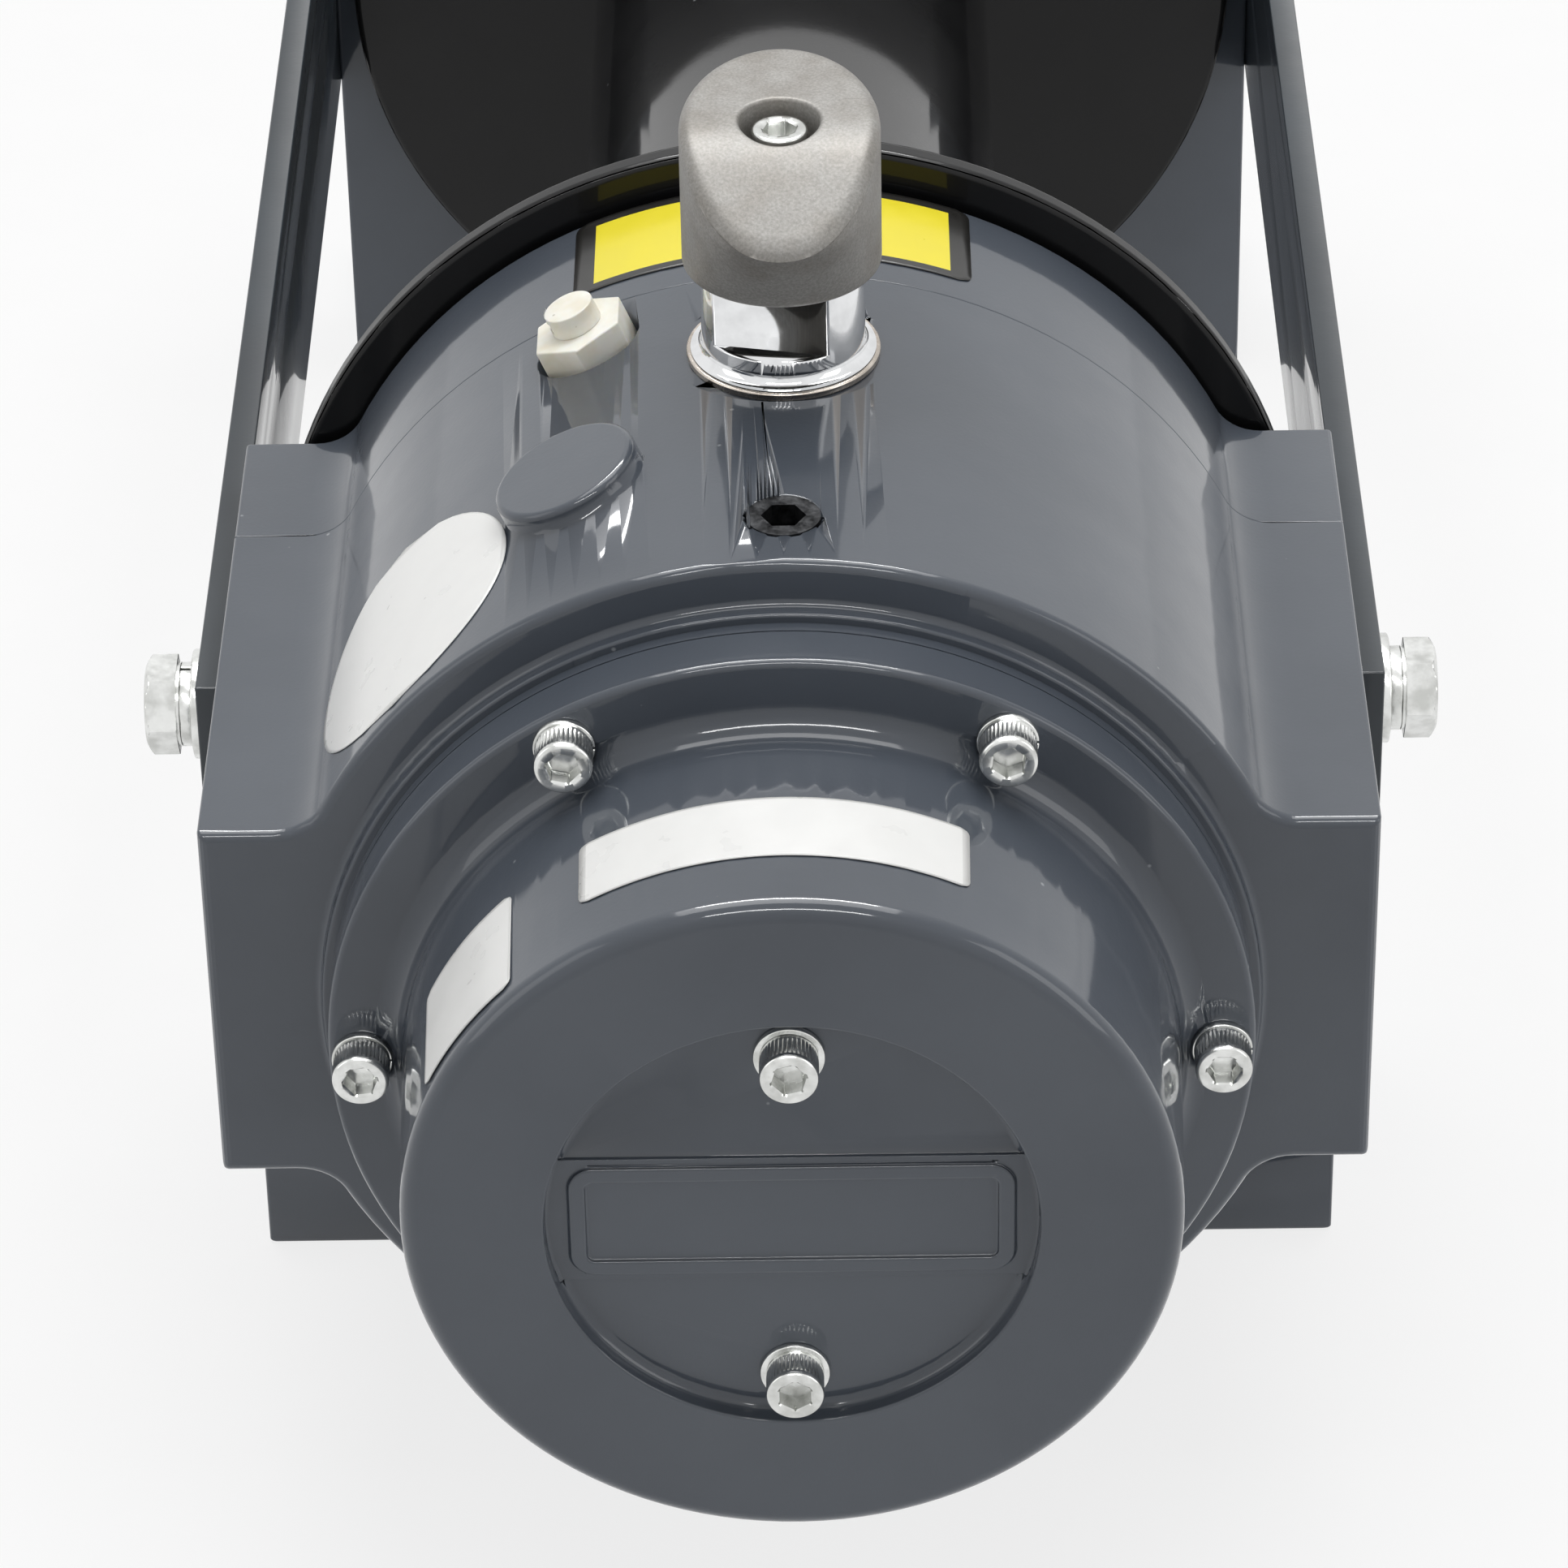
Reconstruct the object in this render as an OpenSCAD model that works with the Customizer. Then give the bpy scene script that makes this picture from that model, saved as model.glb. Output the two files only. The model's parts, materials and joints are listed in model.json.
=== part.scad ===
// Hydraulic winch for truck beds and decks: a two-stage planetary gear end
// with a pull-out clutch, a cable drum between two footed brackets, two tie
// rails and a gerotor motor.
// Millimetres. X across, Y along the drum from gear end to motor, Z up.
// The origin is the centre of the base bolt pattern on the mounting plane.

/* [Frame] */
// Height of the drum axis above the mounting plane
axis_h = 125; // [122:0.5:150]
// Width of the castings between the rails
frame_w = 241.3; // [234:0.5:260]
// How far an ear reaches beyond the round part of the castings
ear_reach = 13.75; // [10:0.25:20]
// Height of the side ears
ear_h = 86.4; // [80:0.5:96]
// Radius of the fillet between an ear and the round part
ear_fillet = 11.5; // [8:0.5:20]
// Thickness of a bracket along the drum
bracket_t = 39.2; // [34:0.2:46]
// Length of the foot beyond its bracket
foot_out = 34.2; // [30:0.2:44]
// Thickness of the foot
foot_t = 22; // [16:0.5:28]
// Diameter of the base bolt holes
base_hole_d = 17.5; // [13:0.5:20]
// Distance of the base bolt holes from the side of the foot
base_hole_edge = 25.4; // [20:0.1:40]
// Thickness of a tie rail
rail_t = 6.35; // [5:0.05:10]
// Height of a tie rail
rail_h = 63.5; // [50:0.5:76]
// Length of rail that reaches past the drum bracket over the housing ear
rail_reach = 42.6; // [36:0.2:60]

/* [Drum] */
// Clear length between the drum flanges
drum_len = 291.8; // [200:0.2:360]
// Outer diameter of the barrel
barrel_d = 101.6; // [94:0.2:120]
// Wall of the barrel
barrel_wall = 6.3; // [5:0.1:9]
// Gap between a drum flange and the rails
flange_rail_gap = 5.45; // [3:0.05:20]
// Thickness of a drum flange
flange_t = 6; // [4:0.2:8]
// Gap between the gear side flange and its bracket
gear_gap = 2; // [1:0.1:4]
// Gap between the motor side flange and its bracket
motor_gap = 4; // [1:0.1:6]
// Diameter of the drum journals
journal_d = 70; // [64:0.5:74]
// Wall of the drum bushes
bush_wall = 5; // [3:0.25:7]

/* [Gear housing] */
// Length of the housing from seam to front face
housing_len = 114.6; // [110:0.2:130]
// Wall of the housing round the gear bore
casting_wall = 11.4; // [9:0.1:13]
// Thickness of the front wall
front_wall = 13; // [10:0.5:16]
// Radius of the rounded edges on the cover flange and the boss
edge_round = 3; // [1:0.25:5]
// Step from the round of the housing down to the spigot
spigot_step = 9.9; // [8:0.1:11.4]
// Length of the spigot
spigot_len = 3.5; // [2:0.1:6]
// Diameter of the raised casting boss
boss_d = 31.4; // [28:0.2:38]
// Height of the raised casting boss
boss_h = 4.5; // [2:0.1:6]
// Distance of the boss from the front face
boss_y = 45.5; // [40:0.1:50]
// Lean of the boss from the vertical in degrees
boss_lean = 24; // [22:0.5:34]

/* [Gear cover] */
// Step from the round of the housing down to the edge of the cover
cover_step = 11.8; // [9:0.1:13]
// Thickness of the cover flange
cover_flange_t = 11.5; // [9:0.1:14]
// Length of the neck in front of the flange
neck_len = 59.1; // [57:0.1:70]
// Width of the ledge round the neck that carries the screws
screw_ledge = 15.6; // [14:0.1:17]
// Draft of the neck, from its root to its front edge
neck_draft = 1.8; // [0.5:0.1:3]
// Radius of the concave fillet at the neck root
neck_fillet = 6; // [3:0.25:7]
// Radius of the rounded front edge
nose_round = 4; // [2:0.25:6]
// Thickness of the front wall
cover_wall = 9; // [7:0.25:11]
// Wall of the neck at its front edge
neck_wall = 7.7; // [6:0.1:8]
// Radius of the shallow recess in the front face
recess_r = 49.1; // [47.5:0.1:54]
// Depth of the shallow recess
recess_deep = 4.6; // [3:0.1:5]
// Radius of the fillet round the floor of the recess
recess_fillet = 2.2; // [1:0.1:2.4]
// Height of the raised band across the recess
band_h = 30; // [27:0.5:38]
// Height of the band over the floor of the recess
band_rise = 1; // [0.5:0.1:1.5]
// Width of the frame on the band
frame_plate_w = 88.4; // [70:0.2:88.4]
// Height of the frame on the band
frame_plate_h = 26.4; // [20:0.2:26.8]
// Width of the rim of that frame
frame_rim = 3.4; // [1.5:0.1:4]
// Height of the frame over the band
frame_rise = 1; // [0.4:0.1:1.5]

/* [Screws] */
// Distance of the cover screws from the edge of the cover
screw_edge = 7.1; // [6.7:0.1:8]
// Number of cover screws
screw_count = 6; // [4:1:8]
// Thread diameter of the cap screws
screw_d = 7.94; // [6:0.02:8.4]
// Head diameter of the cap screws
screw_head_d = 11.7; // [11:0.1:13]
// Head height of the cap screws
screw_head_h = 7.3; // [6:0.02:9]
// Diameter of the lock washers under the cover screws
cover_washer_d = 12.5; // [12:0.1:13]
// Thickness of those lock washers
cover_washer_t = 1.6; // [1:0.1:2]
// Distance of the face screws from the axis
face_screw_r = 39.4; // [37:0.1:41]
// Diameter of the washers under the face screws
face_washer_d = 14.1; // [13:0.1:14.4]
// Thickness of those washers
face_washer_t = 1.4; // [1:0.1:2.5]
// Thread diameter of the rail bolts
rail_bolt_d = 12; // [10:0.1:13]
// Width across flats of a rail bolt head
rail_bolt_af = 19; // [17:0.1:20]
// Height of a rail bolt head
rail_bolt_head = 7.5; // [6:0.1:9]
// Diameter of the flat washers
flat_washer_d = 24; // [22:0.1:26]
// Thickness of the flat washers
flat_washer_t = 2.8; // [2:0.1:4]
// Diameter of the lock washers
lock_washer_d = 18.4; // [17:0.1:20]
// Thickness of the lock washers
lock_washer_t = 2.7; // [2:0.1:3.5]
// Height of the rail bolts above the drum axis
rail_bolt_z = 12.7; // [0:0.1:16]
// Distance of the front rail bolts from the seam
rail_bolt_back = 19.6; // [16:0.1:26]

/* [First gear stage] */
// Wall of the first ring gear behind its teeth
ring1_wall = 4.4; // [4:0.1:7]
// Teeth of the first sun
sun1_z = 15; // [15:3:15]
// Teeth of each first planet
planet1_z = 24; // [24:3:24]
// Face width of the first stage
face1 = 20; // [14:0.5:22]
// Diameter of the first planet pins
pin1_d = 13; // [10:0.5:16]

/* [Output gear stage] */
// Wall of the output ring gear behind its teeth
ring2_wall = 11.7; // [11.7:0.1:14]
// Teeth of the output sun
sun2_z = 15; // [15:3:15]
// Teeth of each output planet
planet2_z = 21; // [21:3:21]
// Face width of the output stage
face2 = 36; // [24:0.5:40]
// Diameter of the output planet pins
pin2_d = 18; // [14:0.5:22]
// Clearance of the output ring gear in its bore
ring2_gap = 0.5; // [0.3:0.1:2]
// Number of clutch pockets round the ring gear
pocket_count = 8; // [6:1:8]
// Width across flats of the hexagonal drive shaft
shaft_af = 15.9; // [14:0.1:17]

/* [Clutch] */
// Distance of the clutch axis from the seam
clutch_back = 29.6; // [28:0.1:36]
// Travel of the clutch when it is pulled out
clutch_travel = 12; // [10:0.5:13]
// Radius of the bright sleeve
sleeve_r = 17.1; // [16.5:0.1:18]
// Width across the wrench flats of the sleeve
sleeve_flat = 24; // [22:0.2:28]
// Radius of the washer under the sleeve
sleeve_washer_r = 20.3; // [19:0.1:22]
// Half width of the handle
handle_b = 20.7; // [19.5:0.1:24]
// Half length of the handle
handle_a = 32; // [28:0.5:36]
// Height of the handle from its underside to the flat top
handle_h = 33; // [30:0.5:38]
// Diameter of the clutch plunger
plunger_d = 15; // [12:0.5:15.5]

/* [Plugs] */
// Width across flats of the vent plug
vent_af = 19; // [15:0.5:19]
// Lean of the vent plug from the vertical in degrees
vent_lean = 23; // [20:0.5:28]
// Distance of the vent plug from the seam
vent_back = 12.9; // [12.9:0.1:18]
// Diameter of the oil fill plug
fill_d = 15; // [12:0.2:18]
// Distance of the fill plug from the front face
fill_y = 17.7; // [14:0.1:19]

/* [Motor] */
// Radius of the motor pilot
pilot_r = 41.25; // [40.8:0.05:44]
// Spacing of the two motor bolts
motor_bolt_w = 106.4; // [104:0.2:112]
// Radius of the motor body
motor_r = 43; // [40:0.5:43.5]
// Length of the motor body behind its flange
motor_body_len = 62; // [56:0.5:76]
// Radius of the gerotor section
gerotor_r = 52; // [50:0.5:60]
// Length of the gerotor section
gerotor_len = 26; // [15:0.5:40]
// Diameter of the oil ports
port_d = 22; // [16:0.5:24]

/* [Hidden] */

// Facets of large, middle and small round shapes
fn_l = 128;
fn_m = 64;
fn_s = 32;
// Overrun of every cut
over = 1;
// Clearance of pieces that are seated in each other
seat_gap = 0.1;
// How far a fillet reaches into the round it blends with
fillet_bite = 0.06;
// Clearance of pieces that turn or slide in each other
run_gap = 0.25;
// Side clearance between turning discs
side_gap = 1;

// Widths and radii, from the rails inwards
half_w = frame_w / 2;
base_hole_w = frame_w - 2 * base_hole_edge;
flange_d = frame_w - 2 * flange_rail_gap;
casting_r = half_w - ear_reach;
bore_r = casting_r - casting_wall;
ring2_r = bore_r - ring2_gap;
spigot_r = casting_r - spigot_step;
cover_flange_r = casting_r - cover_step;
screw_circle_r = cover_flange_r - screw_edge;
neck_root_r = cover_flange_r - screw_ledge;
neck_front_r = neck_root_r - neck_draft;
cover_bore_r = neck_front_r - neck_wall;
ring1_r = cover_bore_r - seat_gap;

// Stations along the drum, from the middle of the base outwards
bracket_gap = drum_len + 2 * flange_t + gear_gap + motor_gap;
gear_in_y = -bracket_gap / 2;
seam_y = gear_in_y - bracket_t;
housing_y = seam_y - housing_len;
spigot_y = housing_y - spigot_len;
ring_flange_t = 2.8;
cover_seat_y = spigot_y - ring_flange_t;
cover_flange_y = cover_seat_y - cover_flange_t;
nose_y = cover_flange_y - neck_len;
motor_in_y = bracket_gap / 2;
motor_out_y = motor_in_y + bracket_t;
drum_y0 = gear_in_y + gear_gap;
drum_y1 = motor_in_y - motor_gap;
clutch_y = seam_y - clutch_back;
rail_y0 = seam_y - rail_reach;

// Gears: the ring teeth follow from sun and planet, the module from the ring
ring1_z = sun1_z + 2 * planet1_z;
ring2_z = sun2_z + 2 * planet2_z;
pressure = 20;
tooth_thin = 0.3;
addendum_share = 1;
dedendum_share = 1.25;
m1 = (ring1_r - ring1_wall) / (ring1_z / 2 + dedendum_share);
m2 = (ring2_r - ring2_wall) / (ring2_z / 2 + dedendum_share);
centre1 = m1 * (sun1_z + planet1_z) / 2;
centre2 = m2 * (sun2_z + planet2_z) / 2;
ring1_root_r = m1 * (ring1_z / 2 + dedendum_share);
ring2_root_r = m2 * (ring2_z / 2 + dedendum_share);
ring1_tip_r = m1 * (ring1_z / 2 - addendum_share);
ring2_tip_r = m2 * (ring2_z / 2 - addendum_share);
planet_at = [90, 210, 330];

// Where the inner pieces of the first stage lie
plate_t = 8;
thrust_y0 = nose_y + cover_wall;
thrust_t = 3;
carrier1_y0 = thrust_y0 + thrust_t + side_gap;
gear1_y0 = carrier1_y0 + plate_t + side_gap;
gear1_y1 = gear1_y0 + face1;
carrier1_y1 = gear1_y1 + side_gap + plate_t;
carrier1_r = ring1_tip_r - side_gap - m1;

// Where the inner pieces of the output stage lie
wall_y = housing_y + front_wall;
carrier2_y0 = wall_y + side_gap;
gear2_y0 = carrier2_y0 + plate_t + side_gap;
gear2_y1 = gear2_y0 + face2;
carrier2_y1 = gear2_y1 + side_gap + plate_t;
carrier2_r = ring2_tip_r - side_gap - m2;
ring2_y0 = wall_y + side_gap;
ring2_y1 = seam_y - side_gap;
wall_bore_r = 30;
post1_r = 8;
post2_r = 11;

// The drum's stub shafts and the spline in the carrier
journal_r = journal_d / 2;
spline_teeth = 16;
spline_r = 28;
spline_deep = 3;
hub_bore_r = 12;
carrier_hub_r = 40;
hub_front_y = carrier2_y1 + side_gap;
seal_t = 7;
seal_land_w = 7;
coupling_r = 18;
coupling_len = 38;
motor_hub_bore_r = coupling_r + side_gap;
flange_weld = 4;

// Clutch, as heights above the drum axis
spot_deep = 1.7;
spot_z = casting_r - spot_deep;
spot_r = 22.8;
sleeve_washer_t = 1.8;
thread_r = 15;
sleeve_low_z = ring2_r + side_gap;
sleeve_base_z = spot_z + sleeve_washer_t;
sleeve_collar_h = 5.6;
sleeve_h = 36;
sleeve_top_z = sleeve_base_z + sleeve_h;
sleeve_cap = 3.5;
flat_turn = 12;
spring_room_r = 9.8;
plunger_r = plunger_d / 2;
pocket_r = plunger_r + 0.5 * side_gap;
plunger_reach = 9;
plunger_low_z = ring2_r - plunger_reach;
shoulder_lift = 5;
shoulder_z = sleeve_base_z + shoulder_lift;
shoulder_h = 3;
shoulder_r = spring_room_r - run_gap;
seat_t = 1.5;
stem_r = 6;
sleeve_bare_h = 20.5;
handle_low_z = sleeve_base_z + sleeve_bare_h;
handle_top_z = handle_low_z + handle_h;
handle_flare_h = 18.5;
handle_wide_z = handle_low_z + handle_flare_h;
handle_slope_y = 8.4;
cup_room = 2.5;
handle_cup_z = sleeve_top_z + cup_room;
handle_cup_r = sleeve_r + 2 * run_gap;
handle_bore_r = 8.4;
cup_roof = 5.5;
handle_seat_z = handle_cup_z + cup_roof;
handle_screw_len = 22;
spring_wire_r = 1;
spring_mean_r = 8;
spring_turns = 4.5;
spring_steps = 12;

// Plugs
vent_pocket_deep = 6.3;
vent_floor = casting_r - vent_pocket_deep;
vent_pocket_r = 11.8;
vent_hex_h = 11;
vent_cap_r = 5.5;
vent_cap_h = 5;
vent_notch = 1.2;
vent_notch_h = 2.4;
vent_stem_r = 4.5;
fill_top = casting_r + seat_gap;
fill_hex = 7.9;
fill_rim = 1.2;

// Screws
screw_hex = 6.35;
screw_hex_deep = 4;
screw_reach = 27;
head_bevel = 0.9;
screw_len = screw_reach + cover_washer_t;
face_screw_len = cover_wall + thrust_t + face_washer_t - recess_deep;
housing_screw_d = 12;
housing_head_d = 18;
housing_head_h = 12;
housing_screw_len = 62;
housing_screw_edge = 13.65;
housing_screw_r = half_w - housing_screw_edge;
housing_screw_lean = 17;
housing_screw_hex = 10;
housing_screw_hex_deep = 6;
rail_bolt_len = 30;
washer_face_h = 0.6;
bolt_bevel = 1.2;

// Motor
pilot_len = 6;
motor_flange_t = 14;
motor_flange_h = 88;
motor_ear_r = 14;
motor_bolt_d = 12.7;
motor_bolt_head_d = 19;
motor_bolt_head_h = 8;
motor_bolt_len = 34;
motor_shaft_r = 12.7;
port_deep = 18;
port_face_h = 56;
port_block_w = 56;
port_step = 30;
port_start = 12;
port_spot_r = 14.5;
port_spot_deep = 1;
rear_flange_t = 14;
end_cap_t = 14;
end_cap_round = 3;
tie_count = 7;
tie_bolt_d = 7.9;
tie_head_af = 12.7;
tie_head_h = 5.5;
tie_circle_r = 41.5;
tie_grip = 10;
motor_y = motor_out_y;
gerotor_y = motor_y + motor_flange_t + motor_body_len;
end_cap_y = gerotor_y + gerotor_len;

// Points on an arc, from angle a0 to angle a1
function arc(cx, cy, r, a0, a1, n) =
  [for (i = [0:n]) let (a = a0 + (a1 - a0) * i / n)
    [cx + r * cos(a), cy + r * sin(a)]];

// A point of the involute of a base circle, turned by the unrolled angle
function involute(base_r, t) =
  [base_r * (cos(t) + t * PI / 180 * sin(t)),
   base_r * (sin(t) - t * PI / 180 * cos(t))];

function turn(p, a) =
  [p[0] * cos(a) - p[1] * sin(a), p[0] * sin(a) + p[1] * cos(a)];

// Unrolled angle at which the involute reaches a radius
function unroll(base_r, r) = sqrt(max(0, pow(r / base_r, 2) - 1)) * 180 / PI;

// One flank, from the root out to the tip, for a tooth centred on angle zero
function flank(pitch_r, root_r, tip_r, half_deg, steps) =
  let (
    base_r = pitch_r * cos(pressure),
    t_pitch = unroll(base_r, pitch_r),
    p = involute(base_r, t_pitch),
    lead = atan2(p[1], p[0]) + half_deg,
    t0 = unroll(base_r, max(base_r, root_r)),
    t1 = unroll(base_r, tip_r)
  )
  concat(
    root_r < base_r ? [turn([root_r, 0], -lead)] : [],
    [for (i = [0:steps]) turn(involute(base_r, t0 + (t1 - t0) * i / steps), -lead)]
  );

// Outline of a gear; grow widens the teeth, as a ring gear's spaces need
function gear_points(z, m, root_r, tip_r, grow) =
  let (
    pitch_r = m * z / 2,
    half_deg = 90 / z + grow / 2 / pitch_r * 180 / PI,
    right = flank(pitch_r, root_r, tip_r, half_deg, 4),
    n = len(right)
  )
  [for (i = [0:z - 1]) each concat(
    [for (p = right) turn(p, 360 * i / z)],
    [for (k = [n - 1:-1:0]) turn([right[k][0], -right[k][1]], 360 * i / z)]
  )];

// Angles that bring planets and sun into mesh with a ring at angle zero
function planet_phase(at, ring_z, planet_z) = at * (1 - ring_z / planet_z);

function sun_phase(at, ring_z, sun_z, planet_z) =
  at * (1 + ring_z / sun_z) - 180 / sun_z * (1 - planet_z);

// Extrudes a drawing in X and height above the axis, from y0 to y1
module along_y(y0, y1) {
  translate([0, y1, axis_h]) rotate([90, 0, 0])
    linear_extrude(y1 - y0) children();
}

// Turns a profile of radius and distance about the drum axis
module turned(y0, fn = fn_l) {
  translate([0, y0, axis_h]) rotate([-90, 0, 0])
    rotate_extrude($fn = fn) children();
}

module disc(y0, y1, r, fn = fn_l) {
  translate([0, y0, axis_h]) rotate([-90, 0, 0])
    cylinder(h = y1 - y0, r = r, $fn = fn);
}

module tube(y0, y1, r_out, r_in, fn = fn_l) {
  difference() {
    disc(y0, y1, r_out, fn);
    disc(y0 - over, y1 + over, r_in, fn);
  }
}

// Places children at radius r and angle a round the axis, at station y
module round_axis(r, a, y) {
  translate([r * cos(a), y, axis_h + r * sin(a)]) children();
}

// Cylinder parallel to the drum, starting at the current place
module rod(len, r, fn = fn_s) {
  rotate([-90, 0, 0]) cylinder(h = len, r = r, $fn = fn);
}

// Stands children on the round casting, leaning from the vertical
module on_casting(lean, y) {
  translate([0, y, axis_h]) rotate([0, -lean, 0]) children();
}

module hex_prism(af, h) {
  cylinder(h = h, r = af / sqrt(3), $fn = 6);
}

// Socket cap screw: head above z = 0, thread below
module cap_screw(d, head_d, head_h, len, hex_af, hex_deep) {
  difference() {
    union() {
      rotate_extrude($fn = fn_s)
        polygon([
          [0, 0], [head_d / 2, 0], [head_d / 2, head_h - head_bevel],
          [head_d / 2 - head_bevel, head_h], [0, head_h]
        ]);
      translate([0, 0, -len]) cylinder(h = len, r = d / 2, $fn = fn_s);
    }
    translate([0, 0, head_h - hex_deep]) hex_prism(hex_af, hex_deep + over);
  }
}

// Hexagon head bolt: head above z = 0, thread below
module hex_bolt(d, af, head_h, len) {
  intersection() {
    translate([0, 0, washer_face_h]) hex_prism(af, head_h - washer_face_h);
    rotate_extrude($fn = fn_s)
      polygon([
        [0, 0], [af / sqrt(3), 0], [af / sqrt(3), head_h - bolt_bevel / 2],
        [af / sqrt(3) - bolt_bevel, head_h], [0, head_h]
      ]);
  }
  cylinder(h = washer_face_h, r = af / 2, $fn = fn_s);
  translate([0, 0, -len]) cylinder(h = len, r = d / 2, $fn = fn_s);
}

// Outline of one corner where an ear blends into the round casting. The
// fillet bites a hair into the casting, so that their arcs cross
module ear_corner() {
  meet_r = casting_r - fillet_bite;
  fil_x = sqrt(pow(meet_r + ear_fillet, 2) - pow(ear_h / 2 + ear_fillet, 2));
  fil_z = ear_h / 2 + ear_fillet;
  touch = meet_r / (meet_r + ear_fillet);
  difference() {
    polygon([[0, 0], [fil_x, ear_h / 2], [fil_x * touch, fil_z * touch]]);
    translate([fil_x, fil_z]) circle(r = ear_fillet, $fn = fn_m);
  }
}

module upper_outline() {
  circle(r = casting_r, $fn = fn_l);
  ear_corner();
  mirror([1, 0]) ear_corner();
}

module housing_outline() {
  upper_outline();
  mirror([0, 1]) upper_outline();
  translate([-half_w, -ear_h / 2]) square([frame_w, ear_h]);
}

module bracket_outline() {
  upper_outline();
  translate([-half_w, -axis_h]) square([frame_w, axis_h + ear_h / 2]);
}

module gear_housing() color("#565b61") {
  difference() {
    union() {
      along_y(housing_y, seam_y) housing_outline();
      disc(spigot_y, housing_y + over, spigot_r);
      turned(housing_y)
        difference() {
          translate([spigot_r - over, -spigot_len / 2])
            square([spigot_len / 2 + over, spigot_len / 2 + over]);
          translate([spigot_r + spigot_len / 2, -spigot_len / 2])
            circle(r = spigot_len / 2, $fn = fn_s);
        }
      on_casting(boss_lean, housing_y + boss_y)
        rotate_extrude($fn = fn_m)
          polygon(concat(
            [[0, bore_r + over], [boss_d / 2, bore_r + over]],
            arc(boss_d / 2 - edge_round / 2, casting_r + boss_h - edge_round / 2,
                edge_round / 2, 0, 90, 4),
            [[0, casting_r + boss_h]]
          ));
    }
    disc(wall_y, seam_y + over, bore_r);
    disc(spigot_y - over, wall_y + over, wall_bore_r, fn_m);
    for (i = [0:screw_count - 1])
      round_axis(screw_circle_r, 360 / screw_count * i, spigot_y - over)
        rod(screw_reach - cover_flange_t - ring_flange_t + 2 * over, screw_d / 2 + seat_gap);
    housing_screw_places(seam_y - housing_screw_len + bracket_t - housing_head_h)
      rod(housing_screw_len, housing_screw_d / 2 + seat_gap);
    rail_bolt_places(-1)
      translate([0, 0, -rail_bolt_len - seat_gap])
        cylinder(h = rail_bolt_len, r = rail_bolt_d / 2 + seat_gap, $fn = fn_s);
    on_casting(0, clutch_y) {
      translate([0, 0, spot_z]) cylinder(h = casting_r, r = spot_r, $fn = fn_m);
      cylinder(h = casting_r, r = thread_r + seat_gap, $fn = fn_m);
    }
    on_casting(vent_lean, seam_y - vent_back) {
      translate([0, 0, vent_floor]) cylinder(h = casting_r, r = vent_pocket_r, $fn = fn_m);
      cylinder(h = casting_r, r = vent_stem_r + seat_gap, $fn = fn_s);
    }
    on_casting(0, housing_y + fill_y)
      translate([0, 0, bore_r - over])
        cylinder(h = casting_r, r = fill_d / 2 + seat_gap, $fn = fn_m);
  }
}

// The places of the screws that clamp housing and drum bracket together
module housing_screw_places(y) {
  for (side = [0, 180], lean = [-housing_screw_lean, housing_screw_lean])
    round_axis(housing_screw_r, side + lean, y) children();
}

// Bolt places on both rails; end -1 is the gear end, 1 the motor end, 0 both.
// Children point outwards from the rail's outer face along their Z
module rail_bolt_places(end = 0) {
  for (side = [-1, 1], e = [-1, 1])
    if (end == 0 || end == e)
      translate([
        side * (half_w + rail_t),
        e < 0 ? seam_y - rail_bolt_back : motor_in_y + bracket_t / 2,
        axis_h + rail_bolt_z
      ]) rotate([0, side * 90, 0]) children();
}

// Profile of the cover's outer skin and cavity, as radius and distance
module gear_cover() color("#565b61") {
  difference() {
    turned(nose_y)
      polygon(concat(
        [[0, 0], [neck_front_r - nose_round, 0]],
        arc(neck_front_r - nose_round, nose_round, nose_round, -90, 0, 6),
        arc(neck_root_r + neck_fillet, neck_len - neck_fillet, neck_fillet, 180, 90, 6),
        arc(cover_flange_r - edge_round / 2, neck_len + edge_round / 2,
            edge_round / 2, -90, 0, 4),
        [
          [cover_flange_r, neck_len + cover_flange_t],
          [cover_bore_r, neck_len + cover_flange_t],
          [cover_bore_r, cover_wall], [0, cover_wall]
        ]
      ));
    for (i = [0:screw_count - 1])
      round_axis(screw_circle_r, 360 / screw_count * i, cover_flange_y) {
        translate([0, -over, 0])
          rod(cover_flange_t + 2 * over, screw_d / 2 + run_gap);
        translate([0, -neck_fillet, 0])
          rod(neck_fillet, cover_washer_d / 2 + side_gap / 2);
      }
    nose_recess();
    for (s = [-1, 1])
      translate([0, nose_y - over, axis_h + s * face_screw_r])
        rod(cover_wall + 2 * over, screw_d / 2 + run_gap);
  }
}

module panel_outline(w, h, r) {
  for (x = [-1, 1], y = [-1, 1])
    translate([x * (w / 2 - r), y * (h / 2 - r)]) circle(r = r, $fn = fn_s);
  square([w - 2 * r, h], center = true);
  square([w, h - 2 * r], center = true);
}

// What is cut from the front face: a shallow round recess around the band,
// whose bare panel has a raised frame
module nose_recess() {
  floor_y = nose_y + recess_deep;
  difference() {
    turned(nose_y - over)
      polygon(concat(
        [[0, 0], [recess_r, 0]],
        arc(recess_r - recess_fillet, recess_deep + over - recess_fillet,
            recess_fillet, 0, 90, 6),
        [[0, recess_deep + over]]
      ));
    along_y(floor_y - band_rise, floor_y + over)
      square([2 * recess_r + over, band_h], center = true);
    along_y(floor_y - band_rise - frame_rise, floor_y + over)
      difference() {
        panel_outline(frame_plate_w, frame_plate_h, 1.5 * frame_rim);
        panel_outline(frame_plate_w - 2 * frame_rim, frame_plate_h - 2 * frame_rim,
                      frame_rim / 2);
      }
  }
}

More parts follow.
